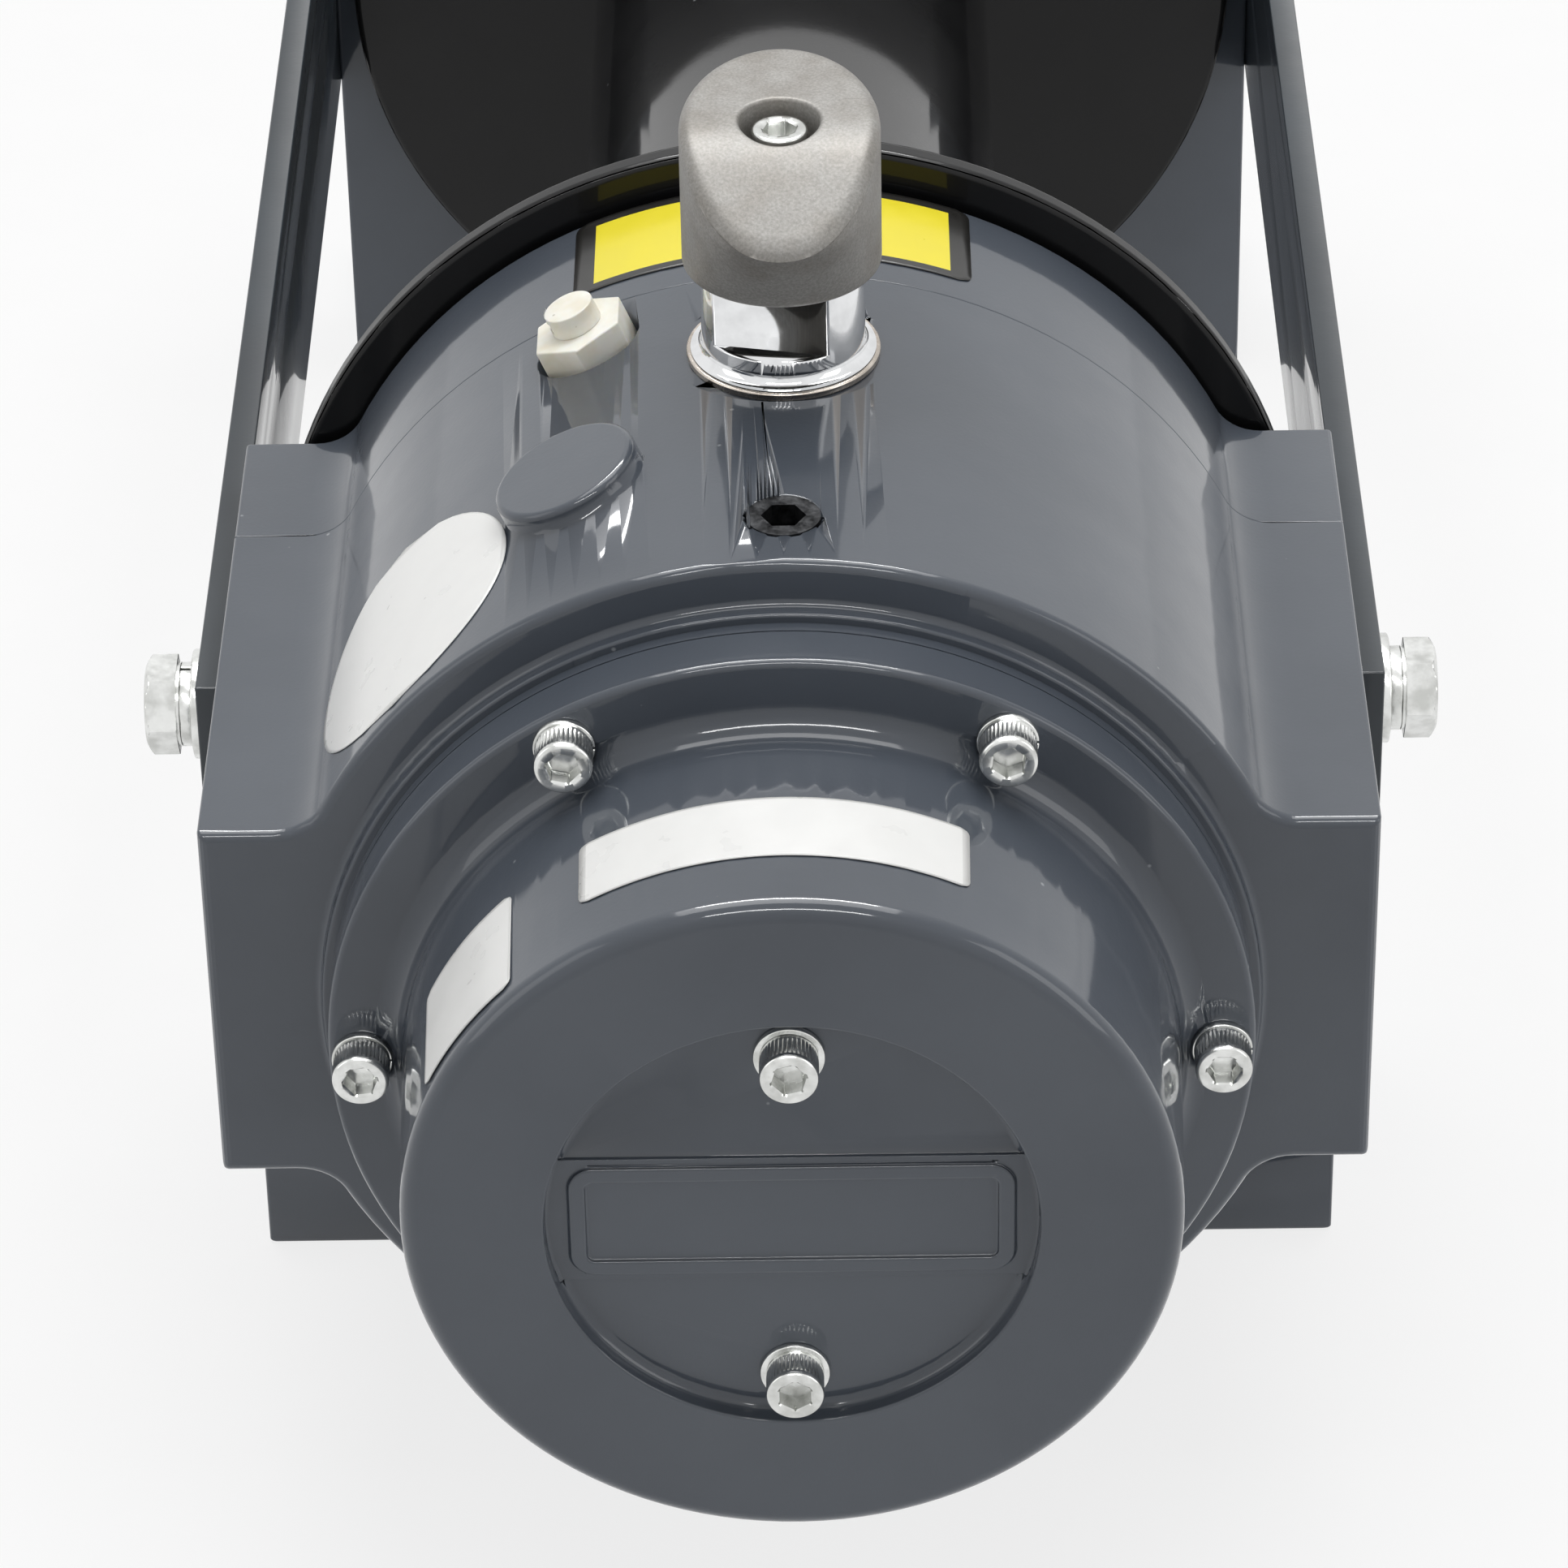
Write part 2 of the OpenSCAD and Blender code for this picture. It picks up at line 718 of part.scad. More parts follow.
module cover_screws() color("#c9cbc8") {
  for (i = [0:screw_count - 1])
    round_axis(screw_circle_r, 360 / screw_count * i, cover_flange_y - cover_washer_t)
      rotate([90, 0, 0])
        cap_screw(screw_d, screw_head_d, screw_head_h, screw_len, screw_hex, screw_hex_deep);
}

module cover_washers() color("#d8d9d6") {
  for (i = [0:screw_count - 1])
    round_axis(screw_circle_r, 360 / screw_count * i, cover_flange_y)
      rotate([90, 0, 0])
        difference() {
          cylinder(h = cover_washer_t, r = cover_washer_d / 2, $fn = fn_s);
          translate([0, 0, -over])
            cylinder(h = cover_washer_t + 2 * over, r = screw_d / 2 + run_gap, $fn = fn_s);
          translate([0, -over / 4, -over])
            cube([cover_washer_d, over / 2, cover_washer_t + 2 * over]);
        }
}

module face_screws() color("#c9cbc8") {
  for (s = [-1, 1])
    translate([0, nose_y + recess_deep - face_washer_t, axis_h + s * face_screw_r])
      rotate([90, 0, 0])
        cap_screw(screw_d, screw_head_d, screw_head_h, face_screw_len, screw_hex, screw_hex_deep);
}

module face_washers() color("#d4d4cf") {
  for (s = [-1, 1])
    translate([0, nose_y + recess_deep - face_washer_t, axis_h + s * face_screw_r])
      difference() {
        rod(face_washer_t, face_washer_d / 2);
        translate([0, -over, 0]) rod(face_washer_t + 2 * over, screw_d / 2 + run_gap);
      }
}

// Wear plate inside the cover, held by the two face screws
module thrust_plate() color("#8a6f45") {
  difference() {
    disc(thrust_y0, thrust_y0 + thrust_t, recess_r, fn_m);
    for (s = [-1, 1])
      translate([0, thrust_y0 - over, axis_h + s * face_screw_r])
        rod(thrust_t + 2 * over, screw_d / 2 + seat_gap);
    disc(thrust_y0 - over, thrust_y0 + thrust_t + over, hub_bore_r, fn_s);
  }
}

// Foot of a bracket; y0 and y1 are its ends, hole_y the bolt row
module foot(y0, y1) {
  translate([-half_w, y0, 0]) cube([frame_w, y1 - y0, foot_t]);
}

module base_hole_cuts(hole_y) {
  for (s = [-1, 1])
    translate([s * base_hole_w / 2, hole_y, -over])
      cylinder(h = foot_t + 2 * over, r = base_hole_d / 2, $fn = fn_s);
}

module drum_bracket() color("#565b61") {
  difference() {
    union() {
      along_y(seam_y, gear_in_y) bracket_outline();
      difference() {
        foot(seam_y - foot_out, seam_y);
        disc(seam_y - foot_out - over, seam_y, casting_r + side_gap);
      }
    }
    base_hole_cuts(seam_y - foot_out / 2);
    disc(seam_y - over, gear_in_y + over, journal_r + bush_wall, fn_m);
    disc(gear_in_y - seal_t, gear_in_y + over, journal_r + bush_wall + seal_land_w, fn_m);
    housing_screw_places(seam_y - over) {
      rod(bracket_t + 2 * over, housing_screw_d / 2 + run_gap);
      translate([0, bracket_t - housing_head_h + over / 2, 0])
        rod(housing_head_h + 2 * over, housing_head_d / 2 + run_gap);
    }
  }
}

module housing_screws() color("#3b3c3e") {
  housing_screw_places(gear_in_y - housing_head_h - over / 2)
    rotate([-90, 0, 0])
      cap_screw(housing_screw_d, housing_head_d, housing_head_h, housing_screw_len - over,
                housing_screw_hex, housing_screw_hex_deep);
}

module drum_bush(y0, y1) {
  tube(y0, y1, journal_r + bush_wall - seat_gap, journal_r + run_gap, fn_m);
}

module lip_seal(y0) {
  tube(y0, y0 + seal_t - side_gap, journal_r + bush_wall + seal_land_w - seat_gap,
       journal_r + run_gap, fn_m);
}

module gear_side_bush() color("#b08d4e") {
  drum_bush(seam_y + side_gap, gear_in_y - seal_t - seat_gap);
}

module gear_side_seal() color("#26282a") {
  lip_seal(gear_in_y - seal_t + seat_gap);
}

module motor_side_bush() color("#b08d4e") {
  drum_bush(motor_in_y + seal_t + seat_gap, motor_out_y - pilot_len - side_gap);
}

module motor_side_seal() color("#26282a") {
  lip_seal(motor_in_y + side_gap - seat_gap);
}

module rail(side) {
  difference() {
    translate([side > 0 ? half_w : -half_w - rail_t, rail_y0, axis_h - rail_h / 2])
      cube([rail_t, motor_out_y - rail_y0, rail_h]);
    rail_bolt_places()
      translate([0, 0, -rail_t - over])
        cylinder(h = rail_t + 2 * over, r = rail_bolt_d / 2 + 2 * run_gap, $fn = fn_s);
  }
}

module left_rail() color("#5b6066") rail(-1);

module right_rail() color("#5b6066") rail(1);

module rail_bolts() color("#cfd0cd") {
  rail_bolt_places()
    translate([0, 0, flat_washer_t + lock_washer_t])
      rotate([0, 0, 30])
        hex_bolt(rail_bolt_d, rail_bolt_af, rail_bolt_head,
                 rail_bolt_len + flat_washer_t + lock_washer_t);
}

module rail_lock_washers() color("#d8d9d6") {
  rail_bolt_places()
    translate([0, 0, flat_washer_t])
      difference() {
        cylinder(h = lock_washer_t, r = lock_washer_d / 2, $fn = fn_s);
        translate([0, 0, -over])
          cylinder(h = lock_washer_t + 2 * over, r = rail_bolt_d / 2 + run_gap, $fn = fn_s);
        translate([0, -over / 2, -over])
          cube([lock_washer_d, over, lock_washer_t + 2 * over]);
      }
}

module rail_flat_washers() color("#d8d9d6") {
  rail_bolt_places()
    difference() {
      cylinder(h = flat_washer_t, r = flat_washer_d / 2, $fn = fn_s);
      translate([0, 0, -over])
        cylinder(h = flat_washer_t + 2 * over, r = rail_bolt_d / 2 + run_gap, $fn = fn_s);
    }
}

module drum_barrel() color("#191a1c") {
  difference() {
    tube(drum_y0 + flange_t, drum_y1 - flange_t, barrel_d / 2, barrel_d / 2 - barrel_wall);
    rope_anchor_place()
      translate([0, 0, -barrel_wall - over])
        cylinder(h = barrel_wall + 2 * over, r = screw_d / 2 + seat_gap, $fn = fn_s);
  }
}

// The rope's set screw sits in the barrel, underneath and near the gear end
module rope_anchor_place() {
  translate([0, drum_y0 + flange_t + 2 * journal_r / 3, axis_h - barrel_d / 2])
    rotate([180, 0, 0]) children();
}

module rope_anchor_screw() color("#2c2d2f") {
  rope_anchor_place()
    difference() {
      translate([0, 0, -barrel_wall])
        cylinder(h = barrel_wall, r = screw_d / 2, $fn = fn_s);
      translate([0, 0, -screw_hex_deep]) hex_prism(screw_d / 2, screw_hex_deep + over);
    }
}

module drum_flange(y0) {
  turned(y0)
    polygon([
      [journal_r - flange_weld, 0], [flange_d / 2 - head_bevel, 0],
      [flange_d / 2, head_bevel], [flange_d / 2, flange_t - head_bevel],
      [flange_d / 2 - head_bevel, flange_t], [journal_r - flange_weld, flange_t]
    ]);
}

module gear_side_flange() color("#141517") drum_flange(drum_y0);

module motor_side_flange() color("#141517") drum_flange(drum_y1 - flange_t);

// Outline of a splined end; slack widens its teeth by an angle on each flank
function spline_points(r, deep, n, slack) =
  [for (i = [0:n - 1]) each [
    turn([r, 0], (i + 0.1) * 360 / n - slack), turn([r, 0], (i + 0.4) * 360 / n + slack),
    turn([r - deep, 0], (i + 0.5) * 360 / n + slack),
    turn([r - deep, 0], (i + 1) * 360 / n - slack)
  ]];

module gear_side_hub() color("#6d6f72") {
  difference() {
    union() {
      disc(seam_y + side_gap, drum_y0, journal_r, fn_m);
      disc(drum_y0, drum_y0 + flange_t + flange_weld, journal_r - flange_weld - seat_gap, fn_m);
      along_y(hub_front_y, seam_y + side_gap)
        polygon(spline_points(spline_r, spline_deep, spline_teeth, 0));
    }
    disc(hub_front_y - over, drum_y0 + flange_t + flange_weld + over, hub_bore_r, fn_m);
  }
}

module motor_side_hub() color("#6d6f72") {
  difference() {
    union() {
      disc(drum_y1, motor_out_y - pilot_len - side_gap, journal_r, fn_m);
      disc(drum_y1 - flange_t - flange_weld, drum_y1,
           journal_r - flange_weld - seat_gap, fn_m);
    }
    disc(drum_y1 - flange_t - flange_weld - over, motor_out_y, motor_hub_bore_r, fn_m);
  }
}

// Two plates and three posts of a planet carrier, with its pin holes
module carrier_cage(y0, y1, gear_y0, gear_y1, r, centre, post_r, pin_r, bore) {
  difference() {
    union() {
      disc(y0, gear_y0 - side_gap, r, fn_m);
      disc(gear_y1 + side_gap, y1, r, fn_m);
      for (a = planet_at)
        round_axis(centre, a + 60, y0) rod(y1 - y0, post_r);
    }
    disc(y0 - over, y1 + over, bore, fn_m);
    for (a = planet_at)
      round_axis(centre, a, y0 - over) rod(y1 - y0 + 2 * over, pin_r + seat_gap);
  }
}

module output_carrier() color("#77797b") {
  sun_room = m2 * (sun2_z / 2 + addendum_share) + side_gap;
  spline_slack = atan(seat_gap / spline_r);
  carrier_cage(carrier2_y0, carrier2_y1, gear2_y0, gear2_y1, carrier2_r, centre2,
               post2_r, pin2_d / 2, sun_room);
  tube(carrier2_y1 - over, seam_y - side_gap, carrier_hub_r, spline_r + 3 * seat_gap, fn_m);
  along_y(hub_front_y, seam_y - side_gap)
    difference() {
      circle(r = carrier_hub_r - over, $fn = fn_m);
      polygon(spline_points(spline_r + seat_gap, spline_deep, spline_teeth, spline_slack));
    }
}

module output_planet_pins() color("#9a9c9e") {
  for (a = planet_at)
    round_axis(centre2, a, carrier2_y0) rod(carrier2_y1 - carrier2_y0, pin2_d / 2);
}

module outer_gear(z, m, y0, y1, bore, phase) {
  along_y(y0, y1)
    difference() {
      polygon(gear_points(z, m, m * (z / 2 - dedendum_share), m * (z / 2 + addendum_share),
                          -tooth_thin));
      rotate(-phase) children();
      if (bore > 0) circle(r = bore, $fn = fn_s);
    }
}

// A planet in its carrier, turned into mesh with the fixed ring
module planet(z, m, ring_z, centre, at, y0, y1, pin_r) {
  translate([centre * cos(at), 0, centre * sin(at)])
    translate([0, 0, axis_h]) rotate([0, -planet_phase(at, ring_z, z), 0])
      translate([0, 0, -axis_h])
        outer_gear(z, m, y0, y1, pin_r + run_gap, 0);
}

module output_planet(k) color("#8d8f91") {
  planet(planet2_z, m2, ring2_z, centre2, planet_at[k], gear2_y0, gear2_y1, pin2_d / 2);
}

module output_planet_1() output_planet(0);

module output_planet_2() output_planet(1);

module output_planet_3() output_planet(2);

module output_ring_gear() color("#6f7174") {
  difference() {
    disc(ring2_y0, ring2_y1, ring2_r);
    along_y(gear2_y0 - side_gap, gear2_y1 + side_gap)
      polygon(gear_points(ring2_z, m2, ring2_tip_r, ring2_root_r, tooth_thin));
    disc(ring2_y0 - over, gear2_y0 - side_gap + over / 2, ring2_root_r + run_gap);
    disc(gear2_y1 + side_gap - over / 2, ring2_y1 + over, ring2_root_r + run_gap);
    for (i = [0:pocket_count - 1])
      translate([0, clutch_y, axis_h]) rotate([0, 360 / pocket_count * i, 0])
        cylinder(h = casting_r, r = pocket_r, $fn = fn_s);
  }
}

module output_sun() color("#8d8f91") {
  phase = sun_phase(planet_at[0], ring2_z, sun2_z, planet2_z);
  translate([0, 0, axis_h]) rotate([0, -phase, 0]) translate([0, 0, -axis_h])
    outer_gear(sun2_z, m2, gear1_y1 + side_gap, gear2_y1, hub_bore_r - side_gap, 0);
}

// The long output sun is splined into the rear plate by its own teeth
module first_carrier() color("#77797b") {
  phase = sun_phase(planet_at[0], ring2_z, sun2_z, planet2_z);
  difference() {
    carrier_cage(carrier1_y0, carrier1_y1, gear1_y0, gear1_y1, carrier1_r, centre1,
                 post1_r, pin1_d / 2, m1 * (sun1_z / 2 + addendum_share) + side_gap / 2);
    along_y(gear1_y1 + side_gap / 2, carrier1_y1 + over)
      rotate(phase)
        polygon(gear_points(sun2_z, m2, m2 * (sun2_z / 2 - dedendum_share) + seat_gap,
                            m2 * (sun2_z / 2 + addendum_share) + seat_gap,
                            2 * seat_gap - tooth_thin));
  }
}

module first_planet_pins() color("#9a9c9e") {
  for (a = planet_at)
    round_axis(centre1, a, carrier1_y0) rod(carrier1_y1 - carrier1_y0, pin1_d / 2);
}

module first_planet(k) color("#8d8f91") {
  planet(planet1_z, m1, ring1_z, centre1, planet_at[k], gear1_y0, gear1_y1, pin1_d / 2);
}

module first_planet_1() first_planet(0);

module first_planet_2() first_planet(1);

module first_planet_3() first_planet(2);

// Ring gear of the first stage; its thin flange is clamped under the cover
module first_ring_gear() color("#5d6268") {
  difference() {
    union() {
      disc(gear1_y0 - side_gap, spigot_y, ring1_r);
      disc(cover_seat_y, spigot_y, cover_flange_r);
    }
    along_y(gear1_y0 - 2 * side_gap, gear1_y1 + side_gap)
      polygon(gear_points(ring1_z, m1, ring1_tip_r, ring1_root_r, tooth_thin));
    disc(gear1_y1 + side_gap - over / 2, spigot_y + over, ring1_root_r + run_gap);
    for (i = [0:screw_count - 1])
      round_axis(screw_circle_r, 360 / screw_count * i, cover_seat_y - over)
        rod(ring_flange_t + 2 * over, screw_d / 2 + run_gap);
  }
}

module hex_outline(af) {
  circle(r = af / sqrt(3), $fn = 6);
}

module first_sun() color("#8d8f91") {
  phase = sun_phase(planet_at[0], ring1_z, sun1_z, planet1_z);
  translate([0, 0, axis_h]) rotate([0, -phase, 0]) translate([0, 0, -axis_h])
    outer_gear(sun1_z, m1, gear1_y0, gear1_y1, 0, phase) hex_outline(shaft_af + 2 * seat_gap);
}

module drive_shaft() color("#a3a5a7") {
  along_y(carrier1_y0, drum_y1 + side_gap) hex_outline(shaft_af);
}

module shaft_coupling() color("#515357") {
  coupling_y = drum_y1 + side_gap - coupling_len / 2;
  difference() {
    disc(coupling_y, coupling_y + coupling_len, coupling_r, fn_m);
    along_y(coupling_y - over, drum_y1 + side_gap) hex_outline(shaft_af + 2 * seat_gap);
    disc(drum_y1 + side_gap, coupling_y + coupling_len + over,
         motor_shaft_r + seat_gap, fn_s);
  }
}

module motor_shaft() color("#a3a5a7") {
  disc(drum_y1 + 2 * side_gap, motor_y + motor_flange_t, motor_shaft_r, fn_s);
}

module clutch_sleeve() color("#c4c5c4") {
  translate([0, clutch_y, axis_h])
    difference() {
      union() {
        translate([0, 0, sleeve_low_z])
          cylinder(h = sleeve_base_z - sleeve_low_z + over, r = thread_r, $fn = fn_m);
        translate([0, 0, sleeve_base_z])
          cylinder(h = sleeve_top_z - sleeve_base_z, r = sleeve_r, $fn = fn_m);
      }
      rotate([0, 0, -flat_turn])
        for (s = [-1, 1])
          translate([-sleeve_r - over, s > 0 ? sleeve_flat / 2 : -sleeve_flat / 2 - sleeve_r,
                     sleeve_base_z + sleeve_collar_h])
            cube([2 * sleeve_r + 2 * over, sleeve_r, sleeve_top_z]);
      translate([0, 0, sleeve_low_z - over])
        cylinder(h = sleeve_top_z, r = plunger_r + run_gap, $fn = fn_s);
      translate([0, 0, shoulder_z - seat_gap])
        cylinder(h = sleeve_top_z - sleeve_cap - shoulder_z + seat_gap,
                 r = spring_room_r, $fn = fn_s);
    }
}

module clutch_washer() color("#cfd0ce") {
  translate([0, clutch_y, axis_h + spot_z])
    difference() {
      cylinder(h = sleeve_washer_t, r = sleeve_washer_r, $fn = fn_m);
      translate([0, 0, -over])
        cylinder(h = sleeve_washer_t + 2 * over, r = thread_r + seat_gap, $fn = fn_m);
    }
}

module oval_slice(z, w, l) {
  translate([0, 0, z]) scale([1, l / w, 1]) cylinder(h = seat_gap, r = w, $fn = fn_s + fn_s / 2);
}

module clutch_handle() color("#b5aea6") {
  translate([0, clutch_y, axis_h])
    difference() {
      hull() {
        oval_slice(handle_low_z, handle_b, handle_b);
        oval_slice(handle_wide_z, handle_b, handle_a);
        oval_slice(handle_top_z - seat_gap, handle_b, handle_a);
      }
      translate([0, -handle_slope_y, handle_top_z])
        rotate([atan((handle_top_z - handle_wide_z) / (handle_a - handle_slope_y)), 0, 0])
          translate([-2 * handle_b, -2 * handle_a, 0])
            cube([4 * handle_b, 2 * handle_a, handle_h]);
      translate([0, 0, handle_low_z - over])
        cylinder(h = handle_cup_z - handle_low_z + over, r = handle_cup_r, $fn = fn_m);
      translate([0, 0, handle_cup_z - over])
        cylinder(h = handle_h, r = screw_d / 2 + run_gap, $fn = fn_s);
      translate([0, 0, handle_seat_z])
        cylinder(h = handle_h, r = handle_bore_r, $fn = fn_m);
    }
}

module handle_screw() color("#c9cbc8") {
  translate([0, clutch_y, axis_h + handle_seat_z])
    cap_screw(screw_d, screw_head_d, screw_head_h, handle_screw_len, screw_hex, screw_hex_deep);
}

module clutch_plunger() color("#9a9c9e") {
  translate([0, clutch_y, axis_h])
    difference() {
      rotate_extrude($fn = fn_m)
        polygon([
          [0, plunger_low_z], [plunger_r - head_bevel, plunger_low_z],
          [plunger_r, plunger_low_z + head_bevel], [plunger_r, shoulder_z],
          [shoulder_r, shoulder_z], [shoulder_r, shoulder_z + shoulder_h],
          [stem_r, shoulder_z + shoulder_h], [stem_r, handle_cup_z - seat_gap],
          [0, handle_cup_z - seat_gap]
        ]);
      translate([0, 0, handle_seat_z - handle_screw_len - over / 2])
        cylinder(h = handle_screw_len, r = screw_d / 2 + seat_gap, $fn = fn_s);
    }
}

module spring_seat() color("#b9bab8") {
  translate([0, clutch_y, axis_h + shoulder_z + shoulder_h])
    difference() {
      cylinder(h = seat_t, r = shoulder_r, $fn = fn_s);
      translate([0, 0, -over])
        cylinder(h = seat_t + 2 * over, r = stem_r + run_gap, $fn = fn_s);
    }
}

// Straight links from one point of the helix to the next
module clutch_spring() color("#8f9294") {
  low = shoulder_z + shoulder_h + seat_t + spring_wire_r + seat_gap;
  rise = sleeve_top_z - sleeve_cap - spring_wire_r - 2 * seat_gap - low;
  n = spring_turns * spring_steps;
  translate([0, clutch_y, axis_h + low])
    for (i = [0:n - 1])
      hull()
        for (k = [i, i + 1])
          rotate([0, 0, 360 * k / spring_steps])
            translate([spring_mean_r, 0, rise * k / n])
              sphere(r = spring_wire_r, $fn = 8);
}

module vent_plug() color("#dcd9cf") {
  on_casting(vent_lean, seam_y - vent_back) {
    translate([0, 0, vent_floor]) rotate([0, 0, 30]) hex_prism(vent_af, vent_hex_h);
    translate([0, 0, bore_r + over / 2])
      cylinder(h = vent_floor - bore_r, r = vent_stem_r, $fn = fn_s);
  }
}

module vent_cap() color("#e6e3da") {
  on_casting(vent_lean, seam_y - vent_back)
    translate([0, 0, vent_floor + vent_hex_h])
      difference() {
        cylinder(h = vent_cap_h, r = vent_cap_r, $fn = fn_s);
        translate([-vent_cap_r - over, -vent_cap_r / 2, vent_notch])
          cube([vent_notch + over, vent_cap_r, vent_notch_h]);
      }
}

module fill_plug() color("#2b2c2e") {
  on_casting(0, housing_y + fill_y)
    difference() {
      translate([0, 0, bore_r + over / 2])
        cylinder(h = fill_top - bore_r - over / 2, r = fill_d / 2, $fn = fn_m);
      translate([0, 0, fill_top - fill_hex])
        hex_prism(fill_hex, fill_hex + over);
    }
}

module motor_bracket() color("#565b61") {
  difference() {
    union() {
      along_y(motor_in_y, motor_out_y) bracket_outline();
      foot(motor_out_y, motor_out_y + foot_out);
    }
    base_hole_cuts(motor_out_y + foot_out / 2);
    disc(motor_in_y - over, motor_out_y + over, journal_r + bush_wall, fn_m);
    disc(motor_in_y - over, motor_in_y + seal_t, journal_r + bush_wall + seal_land_w, fn_m);
    disc(motor_out_y - pilot_len - side_gap / 2, motor_out_y + over, pilot_r + seat_gap, fn_m);
    for (s = [-1, 1])
      translate([s * motor_bolt_w / 2, motor_out_y - motor_bolt_len + motor_flange_t, axis_h])
        rod(motor_bolt_len, motor_bolt_d / 2 + seat_gap);
    rail_bolt_places(1)
      translate([0, 0, -rail_bolt_len - seat_gap])
        cylinder(h = rail_bolt_len, r = rail_bolt_d / 2 + seat_gap, $fn = fn_s);
  }
}

module motor_flange_outline() {
  circle(r = motor_flange_h / 2, $fn = fn_l);
  square([motor_bolt_w, 2 * motor_ear_r], center = true);
  for (s = [-1, 1])
    translate([s * motor_bolt_w / 2, 0]) circle(r = motor_ear_r, $fn = fn_m);
}

module motor_housing() color("#303236") {
  difference() {
    union() {
      disc(motor_y - pilot_len, motor_y + over, pilot_r);
      along_y(motor_y, motor_y + motor_flange_t) motor_flange_outline();
      disc(motor_y + motor_flange_t - over, gerotor_y, motor_r);
      disc(gerotor_y - rear_flange_t, gerotor_y, gerotor_r);
      translate([-port_block_w / 2, motor_y + motor_flange_t - over, axis_h])
        cube([port_block_w, motor_body_len + over, port_face_h]);
    }
    disc(motor_y - pilot_len - over, motor_y + motor_flange_t + side_gap,
         motor_shaft_r + run_gap, fn_s);
    for (s = [-1, 1])
      translate([s * motor_bolt_w / 2, motor_y - over, axis_h])
        rod(motor_flange_t + 2 * over, motor_bolt_d / 2 + run_gap);
    for (k = [0, 1])
      translate([0, motor_y + motor_flange_t + port_start + port_spot_r / 4 + k * port_step,
                 axis_h + port_face_h]) {
        translate([0, 0, -port_deep]) cylinder(h = port_deep + over, r = port_d / 2, $fn = fn_m);
        translate([0, 0, -port_spot_deep])
          cylinder(h = port_spot_deep + over, r = port_spot_r, $fn = fn_m);
      }
    tie_bolt_places(gerotor_y - tie_grip - over / 2)
      rod(tie_grip + over, tie_bolt_d / 2 + seat_gap);
  }
}

module tie_bolt_places(y) {
  for (i = [0:tie_count - 1])
    round_axis(tie_circle_r, 360 / tie_count * i - 90, y) children();
}

module gerotor_section() color("#26282b") {
  difference() {
    disc(gerotor_y, end_cap_y, gerotor_r);
    tie_bolt_places(gerotor_y - over) rod(gerotor_len + 2 * over, tie_bolt_d / 2 + seat_gap);
  }
}

module motor_end_cap() color("#303236") {
  difference() {
    turned(end_cap_y)
      polygon(concat(
        [[0, 0], [gerotor_r, 0]],
        arc(gerotor_r - end_cap_round, end_cap_t - end_cap_round, end_cap_round, 0, 90, 5),
        [[0, end_cap_t]]
      ));
    tie_bolt_places(end_cap_y - over) rod(end_cap_t + 2 * over, tie_bolt_d / 2 + seat_gap);
  }
}

module motor_tie_bolts() color("#a9abaa") {
  tie_bolt_places(end_cap_y + end_cap_t)
    rotate([-90, 0, 0])
      hex_bolt(tie_bolt_d, tie_head_af, tie_head_h, end_cap_t + gerotor_len + tie_grip);
}

module motor_mount_bolts() color("#a9abaa") {
  for (s = [-1, 1])
    translate([s * motor_bolt_w / 2, motor_y + motor_flange_t, axis_h])
      rotate([-90, 30, 0])
        hex_bolt(motor_bolt_d, motor_bolt_head_d, motor_bolt_head_h, motor_bolt_len - over);
}

gear_housing();
gear_cover();
cover_screws();
cover_washers();
face_screws();
face_washers();
thrust_plate();
drum_bracket();
housing_screws();
gear_side_bush();
gear_side_seal();
left_rail();
right_rail();
rail_bolts();
rail_lock_washers();
rail_flat_washers();
drum_barrel();
gear_side_flange();
motor_side_flange();
gear_side_hub();
motor_side_hub();
rope_anchor_screw();
output_carrier();
output_planet_pins();
output_planet_1();
output_planet_2();
output_planet_3();
output_ring_gear();
output_sun();
first_carrier();
first_planet_pins();
first_planet_1();
first_planet_2();
first_planet_3();
first_ring_gear();
first_sun();
drive_shaft();
shaft_coupling();
motor_shaft();
clutch_sleeve();
clutch_washer();
clutch_handle();
handle_screw();
clutch_plunger();
clutch_spring();
spring_seat();
vent_plug();
vent_cap();
fill_plug();
motor_bracket();
motor_side_bush();
motor_side_seal();
motor_housing();
gerotor_section();
motor_end_cap();
motor_tie_bolts();
motor_mount_bolts();
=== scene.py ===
"""Looks of the hydraulic winch: glossy painted castings, a black cable drum,
bright fasteners, a blasted clutch handle and plain blank labels.

Lengths are in millimetres, as in part.scad, until a mesh is made of them.
"""

import json
import math

import bmesh
import bpy
import numpy as np
from mathutils import Matrix, Vector


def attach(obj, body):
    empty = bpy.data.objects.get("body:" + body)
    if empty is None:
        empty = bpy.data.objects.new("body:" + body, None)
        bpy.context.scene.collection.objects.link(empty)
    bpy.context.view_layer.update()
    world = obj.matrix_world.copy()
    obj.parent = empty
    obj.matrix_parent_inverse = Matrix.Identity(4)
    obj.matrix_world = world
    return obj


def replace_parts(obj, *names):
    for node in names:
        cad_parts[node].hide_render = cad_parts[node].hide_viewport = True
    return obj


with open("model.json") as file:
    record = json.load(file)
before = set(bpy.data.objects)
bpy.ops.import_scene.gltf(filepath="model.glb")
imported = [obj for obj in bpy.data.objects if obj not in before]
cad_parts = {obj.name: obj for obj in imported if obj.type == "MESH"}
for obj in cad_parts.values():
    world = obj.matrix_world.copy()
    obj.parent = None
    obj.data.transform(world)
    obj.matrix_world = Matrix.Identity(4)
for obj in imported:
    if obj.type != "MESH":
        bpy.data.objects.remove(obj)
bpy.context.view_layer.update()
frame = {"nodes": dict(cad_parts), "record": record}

MM = 0.001
